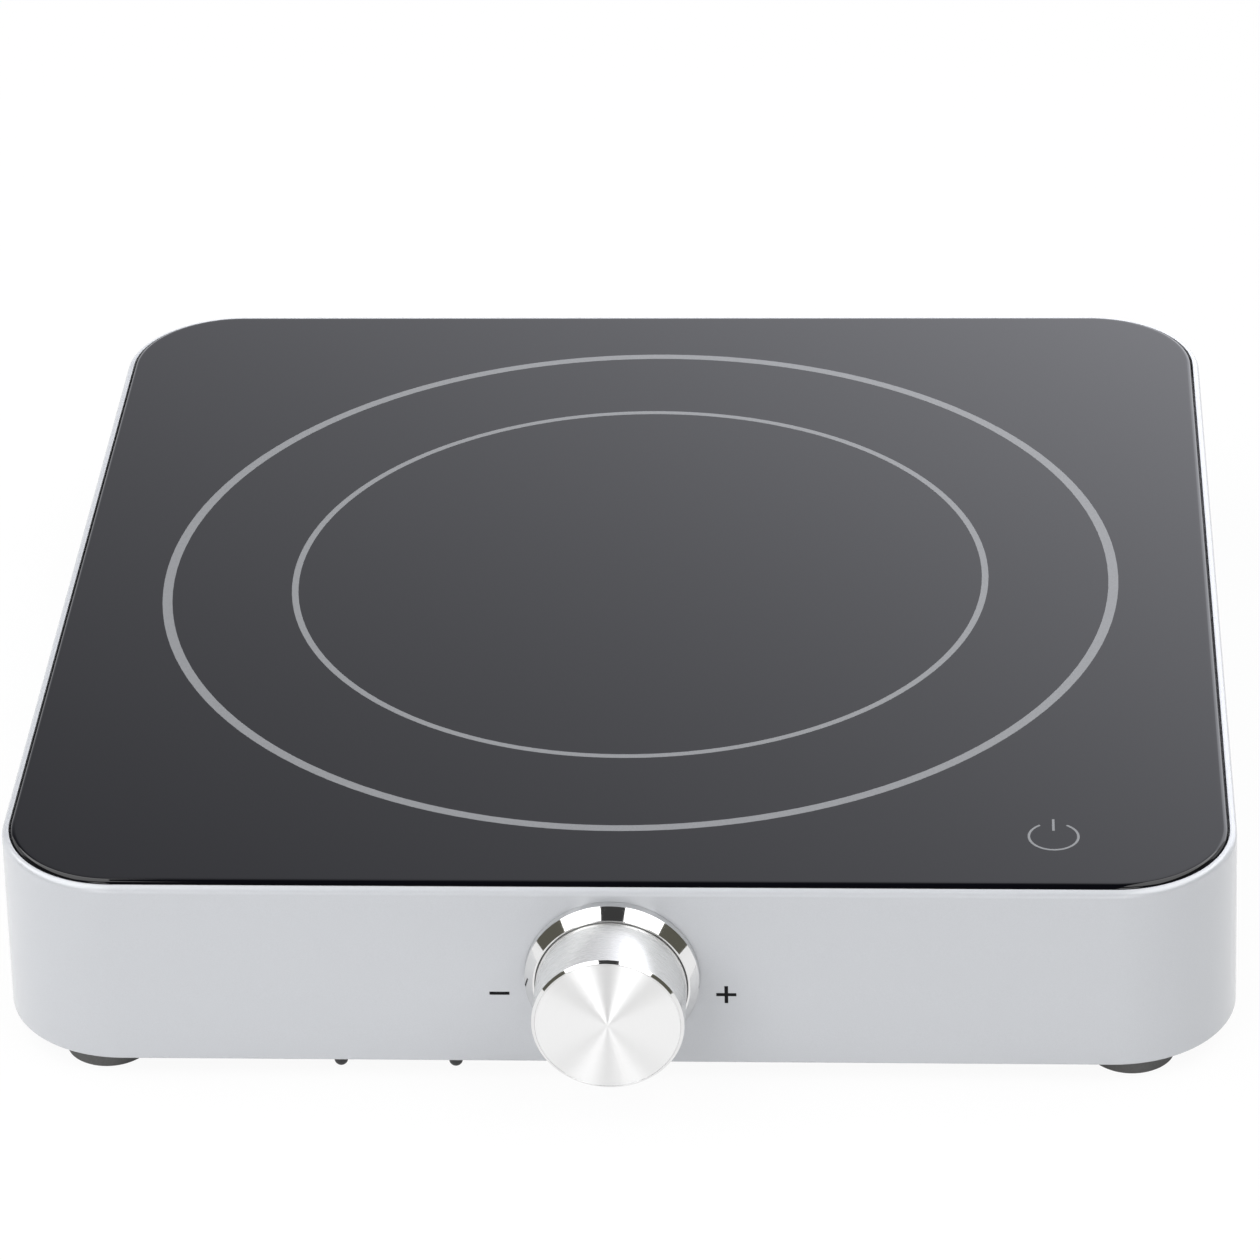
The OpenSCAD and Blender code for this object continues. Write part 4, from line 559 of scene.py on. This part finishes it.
black_glass, shader = finish("black glass ceramic", (0.0012, 0.0013, 0.0028), 0.035)
wiped = noise_in(black_glass.node_tree, 35 * MM, 4.0)
roughen(shader, wiped, 0.03, 0.045)
drawn = noise_in(black_glass.node_tree, 30 * MM, 0.0, (1, 0.2, 1))
emboss(shader, drawn, 0.002 * MM)
seam, edge_round, under_chamfer, flat_strip, print_thick = 0.4 * MM, 1.2 * MM, 0.3 * MM, 0.8 * MM, 0.02 * MM
glass_face = glass_high.z - print_thick
glass_corner = corner_radius - rim_width - seam
edge = [(-under_chamfer, glass_low.z), (0, glass_low.z + under_chamfer)]
edge_steps, corner_steps = 10, 40
edge += arc((-edge_round, glass_face - edge_round), edge_round, 0, 90, edge_steps)
edge.append((-edge_round - flat_strip, glass_face))
loops = []
for across, up in edge:
    loops.append([])
    for x_side, y_side, begin in ((1, 1, 0), (-1, 1, 90), (-1, -1, 180), (1, -1, 270)):
        corner = [(high + low) / 2 + side * ((high - low) / 2 - glass_corner)
                  for low, high, side in zip(glass_low, glass_high, (x_side, y_side))]
        loops[-1] += [(*spot, up) for spot in
                      arc(corner, glass_corner + across, begin, begin + 90, corner_steps)]
plate = settle(piece_from("glass_ceramic_plate", skinned(loops), black_glass))
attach(plate, "hob")
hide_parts("glass_top")

coat(grained("fired grey print", (0.205, 0.21, 0.22), 0.12, size=0.2, tint=0.12, relief=0.004),
     "outer_zone_ring", "inner_zone_ring", "power_mark")
coat(grained("grey silicone bead", (0.20, 0.20, 0.205), 0.45, size=3, tint=0.06, relief=0.05), "glass_seal")


# ---- Minus and plus ----
# Two marks on the front wall, one on each side of the knob. They are pad-printed in dull black ink, and
# lie in pockets as deep as the print is thick.
black_ink = grained("black ink", (0.004, 0.004, 0.005), 0.6, size=0.15, tint=0.3, polish=0.2, relief=0.003)
black_ink.node_tree.nodes["Principled BSDF"].inputs["Specular IOR Level"].default_value = 0.15
coat(black_ink, "plus_mark", "minus_mark")


# ---- Trim ring ----
# A turned ring with a wide chamfer, plated in bright chrome. It lies in a shallow seat in the wall and
# the encoder's nut is reached through it.
def cut_profile(corners, steps=3):
    """The outline through corners (radius, height, fillet radius) given in millimetres."""
    return filleted([(across * MM, up * MM, radius * MM) for across, up, radius in corners], steps)


def brushed(name, colour, roughness, size, axis, rough, relief, metallic=1.0):
    """A finish with fine turning lines round an axis, even all the way round: a noise of the place along
    the axis only, which sets the roughness and a very low relief. Size and relief are in millimetres."""
    material, shader = finish(name, colour, roughness, metallic)
    along = tuple(1.0 if letter == axis else 0.02 for letter in "XYZ")
    lines = noise_in(material.node_tree, size * MM, 2.0, along)
    roughen(shader, lines, *rough)
    emboss(shader, lines, relief * MM)
    return material


chrome = brushed("bright chrome", (0.80, 0.80, 0.80), 0.05, size=0.3, axis="Y", rough=(0.04, 0.07),
                 relief=0.0002)
knob_seat = (0, trim_seat, knob_axis[2])
out_front = (0, -1, 0)
smooth_round = 160
shape = bmesh.new()
turned(shape, cut_profile([(17.2, 0, 0.05), (19.7, 0, 0.1), (19.7, 2.0, 0.55), (17.6, 4.6, 0.2),
                           (17.2, 4.6, 0.08)]), knob_seat, out_front, smooth_round)
trim = settle(piece_from("chrome_trim_ring", shape, chrome), sharp=40)
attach(trim, "hob")
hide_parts("knob_trim")


# ---- Knob ----
# A hollow turned body with a satin plate, four ribs and a hub that a spring clip holds on the encoder's
# shaft. A thin disc with a spun face is glued in its front. All of it turns with the shaft.
satin = brushed("satin plated metal", (0.88, 0.88, 0.87), 0.26, size=0.12, axis="Y", rough=(0.25, 0.28),
                relief=0.00005, metallic=0.8)
shape = bmesh.new()
turned(shape, cut_profile([
    (0, 15.3, 0), (3.02, 15.3, 0), (3.02, 4.0, 0.2), (5, 4.0, 0.4), (5, 16, 0.3), (15, 16, 0.6),
    (15, 0.5, 0.15), (17, 0.5, 0.25), (17, 19.4, 0.12), (16.4, 20, 0.1), (16.2, 20, 0.04), (16.2, 19.2, 0),
    (0, 19.2, 0)]), knob_seat, out_front, smooth_round)
knob = piece_from("knob_turned_body", shape, satin)
shape = bmesh.new()
hub_radius, skirt_radius, rib_half, rib_low, rib_high = 4.5 * MM, 15.5 * MM, 0.6 * MM, 12.5 * MM, 16.5 * MM
for along_x in (True, False):
    for side in (-1, 1):
        near, far = sorted((side * hub_radius, side * skirt_radius))
        across = (near, far) if along_x else (-rib_half, rib_half)
        upward = (-rib_half, rib_half) if along_x else (near, far)
        box(shape, (across[0], trim_seat - rib_high, knob_axis[2] + upward[0]),
            (across[1], trim_seat - rib_low, knob_axis[2] + upward[1]))
ribs = piece_from("ribs", shape)
joined = knob.modifiers.new("ribs", "BOOLEAN")
joined.operation, joined.solver, joined.object = "UNION", "EXACT", ribs
settle(knob, sharp=35)
bpy.data.objects.remove(ribs)
knob.data.materials.append(chrome)
chamfer_back, chamfer_inner = trim_seat - 19.38 * MM, 16.19 * MM
for face in knob.data.polygons:
    spots = [knob.data.vertices[i].co for i in face.vertices]
    if all(c.y < chamfer_back and math.hypot(c.x, c.z - knob_axis[2]) > chamfer_inner for c in spots):
        face.material_index = 1
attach(knob, "knob")
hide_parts("knob_body")

# The spun face: rings of fine grooves, each facet of which leans a little towards the middle.
spun, shader = finish("spun metal", (0.98, 0.98, 0.98), 0.4, 1.0)
shader.inputs["Anisotropic"].default_value = 0.95
shader.inputs["Anisotropic Rotation"].default_value = 0.25
groove_size, groove_depth, facet_lean = 0.12 * MM, 0.0003 * MM, math.radians(8)
tree = spun.node_tree
join(add(tree, "ShaderNodeTangent", direction_type="RADIAL", axis="Y"), shader.inputs["Tangent"])
centred = add(tree, "ShaderNodeMapping", {"Vector": add(tree, "ShaderNodeTexCoord").outputs["Object"],
                                          "Location": (0, 0, -knob_axis[2])})
flat = add(tree, "ShaderNodeVectorMath", {0: centred, 1: (1, 0, 1)}, operation="MULTIPLY")
from_middle = add(tree, "ShaderNodeVectorMath", {0: flat}, operation="LENGTH").outputs["Value"]
rings = add(tree, "ShaderNodeTexNoise", {"W": from_middle, "Scale": 1 / groove_size, "Detail": 3.0},
            noise_dimensions="1D")
tone = add(tree, "ShaderNodeValToRGB", {"Fac": rings})
for mark, place, level in zip(tone.color_ramp.elements, (0.35, 0.65), (0.96, 1.0)):
    mark.position, mark.color = place, (level, level, level, 1)
join(tone, shader.inputs["Base Color"])
roughen(shader, rings, 0.37, 0.42)
lean = maths(tree, "MULTIPLY", from_middle, -math.tan(facet_lean))
emboss(shader, maths(tree, "MULTIPLY_ADD", rings, groove_depth, lean), 1.0)
shape = bmesh.new()
turned(shape, cut_profile([(0, 19.2, 0), (16.18, 19.2, 0), (16.18, 20, 0.08), (0, 20, 0)]),
       knob_seat, out_front, smooth_round)
cap = settle(piece_from("knob_spun_cap", shape, spun), sharp=35)
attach(cap, "knob")
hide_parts("knob_cap")


# ---- Encoder and clip ----
# A metal-cased rotary encoder with a threaded neck and a nut. Its shaft and the spring clip are steel,
# and turn with the knob.
coat(grained("nickel plated steel", (0.55, 0.54, 0.52), 0.32, metallic=1.0, size=0.6, tint=0.06, polish=0.2,
             relief=0.003, stretch=(1, 0.15, 1)), "encoder_body", "encoder_nut")
bright_steel = brushed("ground steel", (0.62, 0.62, 0.61), 0.22, size=0.2, axis="Y", rough=(0.18, 0.28),
                       relief=0.0005)
coat(bright_steel, "encoder_shaft")
coat(grained("blued spring steel", (0.13, 0.13, 0.15), 0.35, metallic=0.9, size=0.5, tint=0.15,
             relief=0.002), "knob_clip")


# ---- Base ----
# The cover is moulded in dark grey plastic with a fine eroded texture. It carries the intake slots, the
# posts for the boards and the fan, and two small pegs in front.
dark_plastic = grained("dark moulded plastic", (0.028, 0.028, 0.030), 0.5, size=0.35, tint=0.10,
                       polish=0.12, relief=0.012)
coat(dark_plastic, "base_cover")


# ---- Feet ----
# Four soft pads, moulded in grey-black rubber with rings in the tread. A stem with a barb snaps each
# into its hole in the cover.
rubber = grained("grey-black rubber", (0.10, 0.10, 0.098), 0.75, size=0.5, tint=0.15, polish=0.1,
                 relief=0.02)
foot_outline = cut_profile([
    (0, 0.4, 0), (2.0, 0.4, 0.1), (2.2, 0, 0.1), (4.6, 0, 0.1), (4.8, 0.4, 0.1), (5.4, 0.4, 0.1),
    (5.6, 0, 0.1), (9.4, 0, 0.2), (10.0, 0.5, 0.2), (10.2, 4.5, 0.15), (2.2, 4.5, 0), (2.2, 6.6, 0),
    (3.2, 6.6, 0.15), (2.2, 8.5, 0.2), (0, 8.5, 0)])
for corner in ("front_left", "front_right", "rear_left", "rear_right"):
    low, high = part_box("foot_" + corner)
    shape = bmesh.new()
    turned(shape, foot_outline, ((low.x + high.x) / 2, (low.y + high.y) / 2, low.z), (0, 0, 1))
    foot = settle(piece_from("rubber_foot_" + corner, shape, rubber), sharp=40)
    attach(foot, "hob")
    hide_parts("foot_" + corner)


# ---- Screws ----
# Pan-head screws with a cross recess and a plastic thread, zinc plated. They hold the base, the boards,
# the coil carrier and the fan. Each stands where its plain solid stands, its cross turned at random.
def solids(name):
    """The boxes (low, high) of a CAD node's separate solids, read from a copy of its mesh."""
    shape = bmesh.new()
    shape.from_mesh(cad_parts[name].data)
    bmesh.ops.remove_doubles(shape, verts=shape.verts, dist=0.001 * MM)
    left, found = set(shape.verts), []
    while left:
        edge, island = [left.pop()], []
        while edge:
            vert = edge.pop()
            island.append(vert.co.copy())
            for link in vert.link_edges:
                other = link.other_vert(vert)
                if other in left:
                    left.remove(other)
                    edge.append(other)
        found.append([Vector([pick(c[k] for c in island) for k in range(3)]) for pick in (min, max)])
    shape.free()
    return sorted(found, key=lambda ends: tuple(round(c, 5) for c in (*ends[0], *ends[1])))


zinc = grained("zinc plated steel", (0.60, 0.59, 0.56), 0.30, metallic=1.0, size=1.2, tint=0.10,
               polish=0.25, relief=0.003)
tree, sizes, result = new_tree("cross-head screws", Places="Object", Screw="Object", Cross="Object",
                               Seed="Int", Material="Material")
shown = shown_in(tree, sizes, "Places", "Screw", "Cross")
recessed = add(tree, "GeometryNodeMeshBoolean", {"Mesh 1": shown["Screw"], "Mesh 2": shown["Cross"],
                                                 "Self Intersection": True},
               operation="DIFFERENCE", solver="EXACT")
turn = add(tree, "FunctionNodeRandomValue", {"Max": (0, 0, math.pi / 2), "Seed": sizes["Seed"]},
           data_type="FLOAT_VECTOR")
stood = add(tree, "GeometryNodeInstanceOnPoints", {"Points": shown["Places"], "Instance": recessed,
                                                   "Rotation": turn})
finish_tree(tree, stood, sizes["Material"], result)

head_height, head_under, brim = 1.4 * MM, 2.65 * MM, 0.15
shank_radius, thread_pitch, thread_depth = 1.38 * MM, 0.9 * MM, 0.25 * MM
core_radius = shank_radius - thread_depth
tip_radius, tip_height, thread_stop, neck = 0.45 * MM, 0.1 * MM, 0.6 * MM, 0.1 * MM
cross_reach, cross_half, cross_depth = 1.55 * MM, 0.32 * MM, 0.75 * MM
for seed, name in enumerate(("base_screws", "board_screws", "carrier_screws", "fan_screws")):
    faces_down = name == "base_screws"
    spots = solids(name)
    length = min(high.z - low.z for low, high in spots) - head_height
    outline = [(0, -length), (tip_radius, -length + tip_height)]
    z = -length + thread_pitch
    while z < -thread_stop:
        outline += [(core_radius, z), (shank_radius, z + thread_pitch / 2)]
        z += thread_pitch
    outline += [(core_radius, -neck), (core_radius, 0), (head_under, 0)]
    outline += [(head_radius * math.cos(t), head_height * (brim + (1 - brim) * math.sin(t)))
                for t in (math.radians(a) for a in (0, 12, 25, 40, 58, 76))] + [(0, head_height)]
    shape = bmesh.new()
    turned(shape, outline, (0, 0, 0), (0, 0, 1), segments=24)
    cross = bmesh.new()
    for x, y in ((cross_reach, cross_half), (cross_half, cross_reach)):
        box(cross, (-x, -y, head_height - cross_depth), (x, y, head_height + MM))
    if faces_down:
        for part in (shape, cross):
            bmesh.ops.rotate(part, verts=part.verts, matrix=Matrix.Rotation(math.pi, 3, "X"))
    stand = bpy.data.meshes.new("places")
    stand.from_pydata([((low.x + high.x) / 2, (low.y + high.y) / 2, low.z + head_height if faces_down else
                        high.z - head_height) for low, high in spots], [], [])
    screws = grow("cross_head_" + name, tree, Places=bpy.data.objects.new("places", stand), Seed=seed,
                  Screw=piece_from("screw", shape), Cross=piece_from("cross", cross), Material=zinc)
    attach(screws, "hob")
    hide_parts(name)


# ---- Cord gland ----
# A round gland in black nylon passes the mains cord through the rear wall. Its nut holds it from inside,
# and a bar with two screws clamps the cord behind it.
black_nylon = grained("black nylon", (0.018, 0.018, 0.019), 0.42, size=0.8, tint=0.12, polish=0.2,
                      relief=0.01)
neck_end = (gland_low.y - gland_high.y) / MM
gland_outline = [(3.6, neck_end), (6.4, neck_end), (6.4, -2.4), (9.0, -2.4), (9.0, -0.9), (8.8, -0.45),
                 (8.3, -0.1), (7.6, 0), (6.2, 0), (5.9, -0.12), (5.6, -0.5), (5.0, -0.5), (4.4, -0.62),
                 (3.9, -1.0), (3.6, -1.6)]
shape = bmesh.new()
turned(shape, [(across * MM, up * MM) for across, up in gland_outline],
       (gland_axis[0], gland_high.y, gland_axis[2]), (0, 1, 0))
gland = settle(piece_from("nylon_cord_gland", shape, black_nylon), sharp=40)
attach(gland, "hob")
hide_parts("cord_gland")
coat(black_nylon, "gland_nut", "cord_clamp")


# ---- Coil ----
# Seventeen turns of litz wire, a twisted rope of fine copper, wound flat from the middle outwards. It
# lies on a plastic carrier over six ferrite bars, under a sheet of mica, round the glass sensor.
def two_tone(shader, share, low, high):
    """Colours the surface between two colours, by a share."""
    join(add(shader.id_data, "ShaderNodeMixRGB", {"Fac": share, "Color1": (*low, 1), "Color2": (*high, 1)}),
         shader.inputs["Base Color"])


copper = grained("enamelled copper litz", (0.66, 0.30, 0.14), 0.32, metallic=0.85, size=0.3, tint=0.18,
                 polish=0.2, relief=0.02)
coil_low, coil_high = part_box("induction_coil")
wire_radius = (coil_high.z - coil_low.z) / 2
outer_radius, inner_radius = (coil_high.x - coil_low.x) / 2 - wire_radius, 25 * MM
coil_turns, steps_a_turn, strands, bulge, lay_length = 17.0, 150, 7, 0.22 * MM, 16 * MM
tree, sizes, result = new_tree("flat litz coil", Inner="Float", Outer="Float", Turns="Float", Steps="Int",
                               Rope="Object", Twist="Float", Middle="Vector", Material="Material")
spiral = add(tree, "GeometryNodeCurveSpiral", {"Resolution": sizes["Steps"], "Rotations": sizes["Turns"],
                                               "Start Radius": sizes["Inner"], "End Radius": sizes["Outer"],
                                               "Height": 0.0})
along = add(tree, "GeometryNodeSplineParameter").outputs["Length"]
twisted = add(tree, "GeometryNodeSetCurveTilt", {"Curve": spiral,
                                                 "Tilt": maths(tree, "MULTIPLY", along, sizes["Twist"])})
rope = shown_in(tree, sizes, "Rope")["Rope"]
wound = add(tree, "GeometryNodeCurveToMesh", {"Curve": twisted, "Profile Curve": rope, "Fill Caps": True})
placed = add(tree, "GeometryNodeTransform", {"Geometry": wound, "Translation": sizes["Middle"]})
finish_tree(tree, placed, sizes["Material"], result)
rope_points = []
for angle in (math.tau * k / (strands * 2) for k in range(strands * 2)):
    radius = wire_radius - bulge * (1 - abs(math.cos(strands * angle / 2)))
    rope_points.append((radius * math.cos(angle), radius * math.sin(angle)))
coil = grow("litz_coil", tree, Inner=inner_radius, Outer=outer_radius, Turns=coil_turns, Steps=steps_a_turn,
            Rope=outline_object("rope", rope_points), Twist=math.tau / lay_length,
            Middle=(coil_low + coil_high) / 2, Material=copper)
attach(coil, "hob")
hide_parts("induction_coil")

mica, shader = finish("mica sheet", (0.50, 0.43, 0.30), 0.38)
tree = mica.node_tree
flakes = add(tree, "ShaderNodeTexVoronoi", {"Vector": object_place(tree, (1, 1, 0.1)),
                                            "Scale": 1 / (6 * MM)})
chance = add(tree, "ShaderNodeSeparateColor", {"Color": flakes.outputs["Color"]})
two_tone(shader, chance, (0.45, 0.38, 0.26), (0.56, 0.49, 0.36))
coat(mica, "mica_sheet")
coat(grained("cream heat-proof plastic", (0.55, 0.52, 0.44), 0.5, size=0.9, tint=0.08, polish=0.12,
             relief=0.012), "coil_carrier")
coat(grained("sintered ferrite", (0.035, 0.034, 0.034), 0.55, size=0.25, tint=0.5, polish=0.3, relief=0.02),
     "ferrite_bars")
coat(grained("white silicone", (0.70, 0.70, 0.68), 0.5, size=1.5, tint=0.05, relief=0.02), "coil_sensor")
coat(grained("red glass-fibre sleeve", (0.42, 0.035, 0.025), 0.6, size=0.5, tint=0.3, relief=0.08),
     "coil_leads")


# ---- Boards ----
# The power board is brown phenolic paper and the control and touch boards are green glass fibre. Copper
# tracks show through the lacquer. The switching parts stand against a finned heat sink.
def board_lacquer(name, ground, track, plane):
    """A lacquered board: runs of track lie under it in rows, each row cut in lengths at random."""
    pitch, run, bare_share, weave_share = 1.27 * MM, 14 * MM, 0.55, 0.35
    material, shader = finish(name, ground, 0.35)
    tree = material.node_tree
    steps = (run, pitch, 1.0) if plane == "XY" else (run, 1.0, pitch)
    cell = add(tree, "ShaderNodeVectorMath", {0: object_place(tree), 1: steps}, operation="SNAP")
    chance = add(tree, "ShaderNodeTexWhiteNoise", {"Vector": cell}, noise_dimensions="3D")
    here = maths(tree, "GREATER_THAN", chance, bare_share)
    weave = maths(tree, "MULTIPLY", noise_in(tree, 0.8 * MM, 3.0), weave_share)
    two_tone(shader, maths(tree, "MULTIPLY_ADD", here, 1 - weave_share, weave), ground, track)
    emboss(shader, here, 0.03 * MM, strength=0.6)
    return material


fibre_green, track_green = (0.012, 0.10, 0.035), (0.02, 0.16, 0.06)
coat(board_lacquer("brown phenolic board", (0.26, 0.14, 0.06), (0.34, 0.20, 0.09), "XY"), "power_board")
coat(board_lacquer("green board upright", fibre_green, track_green, "XZ"), "control_board")
coat(board_lacquer("green board flat", fibre_green, track_green, "XY"), "touch_board")
coat(grained("black epoxy", (0.015, 0.015, 0.016), 0.55, size=0.2, tint=0.2, relief=0.01), "control_chip",
     "power_transistor", "bridge_rectifier", "buzzer")
coat(grained("extruded aluminium", (0.70, 0.70, 0.71), 0.38, metallic=1.0, size=0.25, tint=0.06,
             polish=0.25, relief=0.006, stretch=(1, 0.03, 1)), "heat_sink")


# ---- Capacitors and transformer ----
# Film capacitors are potted in plastic boxes, and the small transformer has a yellow tape over its
# winding. The three electrolytic ones are aluminium cans in a shrunk sleeve, with a bead rolled in.
coat(grained("yellow film box", (0.55, 0.38, 0.04), 0.4, size=0.7, tint=0.08, relief=0.008),
     "line_capacitor", "standby_transformer")
coat(grained("blue film box", (0.03, 0.08, 0.30), 0.4, size=0.7, tint=0.08, relief=0.008),
     "filter_capacitor", "resonant_capacitor")
can_sleeve = grained("dark blue sleeve", (0.02, 0.03, 0.10), 0.3, size=0.5, tint=0.15, polish=0.2,
                     relief=0.006)
shape = bmesh.new()
for low, high in solids("electrolytic_capacitors"):
    tall = (high.z - low.z) / MM
    dished = tall - 0.35
    turned(shape, cut_profile([(0, 0, 0), (5.2, 0, 0.4), (5.2, 1.1, 0.3), (4.7, 1.6, 0.3), (5.0, 2.2, 0.3),
                               (5.0, tall, 0.5), (4.2, tall, 0.1), (4.0, dished, 0.1), (0, dished, 0)]),
           ((low.x + high.x) / 2, (low.y + high.y) / 2, low.z), (0, 0, 1), segments=40)
cans = settle(piece_from("beaded_capacitor_cans", shape, can_sleeve), sharp=40)
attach(cans, "hob")
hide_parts("electrolytic_capacitors")


# ---- Chokes ----
# Two ring cores with a green coat, wound with enamelled wire, turn beside turn, as many turns as there is
# room for round the hole. They stand flat on the power board.
core_green = grained("green coated core", (0.02, 0.13, 0.06), 0.4, size=0.8, tint=0.1, relief=0.01)
tree, sizes, result = new_tree("wound ring core", Ring="Float", Tube="Float", Wire="Float", Turns="Int",
                               Middle="Vector", Core="Material", Winding="Material")


def circle(radius, resolution):
    """A circle in the tree that is being made."""
    return add(tree, "GeometryNodeCurvePrimitiveCircle", {"Resolution": resolution, "Radius": radius})


way = circle(sizes["Ring"], 96)
inside = maths(tree, "MULTIPLY_ADD", sizes["Wire"], -2.0, sizes["Tube"])
core = add(tree, "GeometryNodeCurveToMesh", {"Curve": way, "Profile Curve": circle(inside, 32)})
core = add(tree, "GeometryNodeSetMaterial", {"Geometry": core, "Material": sizes["Core"]})
loop = circle(maths(tree, "SUBTRACT", sizes["Tube"], sizes["Wire"]), 28)
one_turn = add(tree, "GeometryNodeCurveToMesh", {"Curve": loop, "Profile Curve": circle(sizes["Wire"], 8)})
stations = add(tree, "GeometryNodeCurveToPoints", {"Curve": way, "Count": sizes["Turns"]}, mode="COUNT")
turns = add(tree, "GeometryNodeInstanceOnPoints", {"Points": stations, "Instance": one_turn,
                                                   "Rotation": stations.outputs["Rotation"]})
turns = add(tree, "GeometryNodeSetMaterial", {"Geometry": turns, "Material": sizes["Winding"]})
both = add(tree, "GeometryNodeJoinGeometry", {"Geometry": core})
join(turns, both.inputs[0])
placed = add(tree, "GeometryNodeTransform", {"Geometry": both, "Translation": sizes["Middle"]})
join(add(tree, "GeometryNodeRealizeInstances", {"Geometry": placed}), result)
wire, spacing = 0.4 * MM, 2.1
for name in ("line_choke", "filter_choke"):
    low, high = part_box(name)
    tube = (high.z - low.z) / 2
    ring = (high.x - low.x) / 2 - tube
    choke = grow("wound_" + name, tree, Ring=ring, Tube=tube, Wire=wire, Middle=(low + high) / 2,
                 Turns=int(math.tau * (ring - tube) / (spacing * wire)), Core=core_green, Winding=copper)
    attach(choke, "hob")
    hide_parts(name)


# ---- Fuse and terminals ----
# A glass fuse with metal caps in two plated clips, the mains terminals in green plastic, and two turned
# brass posts that the coil's leads are screwed to.
fuse_low, fuse_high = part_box("fuse")
metal_colour, glass_colour, glass_half = (0.62, 0.60, 0.56), (0.75, 0.80, 0.78), 4.8 * MM
fuse_glass, shader = finish("fuse glass and caps", metal_colour, 0.25, 1.0)
tree = fuse_glass.node_tree
along = add(tree, "ShaderNodeSeparateXYZ", {"Vector": object_place(tree)}).outputs["Y"]
off_middle = maths(tree, "ABSOLUTE", maths(tree, "SUBTRACT", along, (fuse_low.y + fuse_high.y) / 2))
is_glass = maths(tree, "LESS_THAN", off_middle, glass_half)
two_tone(shader, is_glass, metal_colour, glass_colour)
join(maths(tree, "SUBTRACT", 1.0, is_glass), shader.inputs["Metallic"])
coat(fuse_glass, "fuse")
coat(grained("green terminal plastic", (0.02, 0.16, 0.05), 0.42, size=0.6, tint=0.1, relief=0.01),
     "terminal_block")
coat(brushed("turned brass", (0.75, 0.55, 0.25), 0.28, size=0.2, axis="Z", rough=(0.22, 0.34),
             relief=0.001), "coil_terminals")


# ---- Cables and touch contact ----
# Flat grey cables join the boards and the fan. A coil spring stands on the touch board and presses
# against the glass under the power mark.
def flat_cable(name, across):
    """A finish with grey insulated conductors side by side along an axis, and a groove between each two,
    painted darker as shade. A wave's length is tau / 20 over its scale."""
    pitch, depth = 1.27 * MM, 0.15 * MM
    material, shader = finish(name, (0.28, 0.28, 0.28), 0.5)
    tree = material.node_tree
    cores_and_groove_shade = add(tree, "ShaderNodeTexWave", {"Vector": object_place(tree), "Scale": math.tau / (20 * pitch)},
                bands_direction=across).outputs["Fac"]
    emboss(shader, cores_and_groove_shade, depth)
    # Painted shade: the grooves are darker grey and the raised tops lighter, by the same wave as the relief.
    two_tone(shader, cores_and_groove_shade, (0.16, 0.16, 0.16), (0.30, 0.30, 0.30))
    return material


coat(flat_cable("grey flat cable", "X"), "ribbon_cable", "fan_lead")
coat(flat_cable("grey flat cable on edge", "Y"), "touch_cable")
coat(grained("nickel spring wire", (0.62, 0.60, 0.55), 0.25, metallic=1.0, size=0.3, tint=0.08, polish=0.2,
             relief=0.002), "touch_spring")


# ---- Fan and baffle ----
# A flat square fan draws air through the base. Its frame and rotor are black glass-filled nylon, and the
# baffle round it leads the air to the outlet slots.
coat(grained("black fan nylon", (0.020, 0.020, 0.022), 0.38, size=0.5, tint=0.15, relief=0.008),
     "fan_frame", "fan_rotor")
coat(bright_steel, "fan_shaft")
coat(copper, "fan_stator")
coat(dark_plastic, "air_baffle")
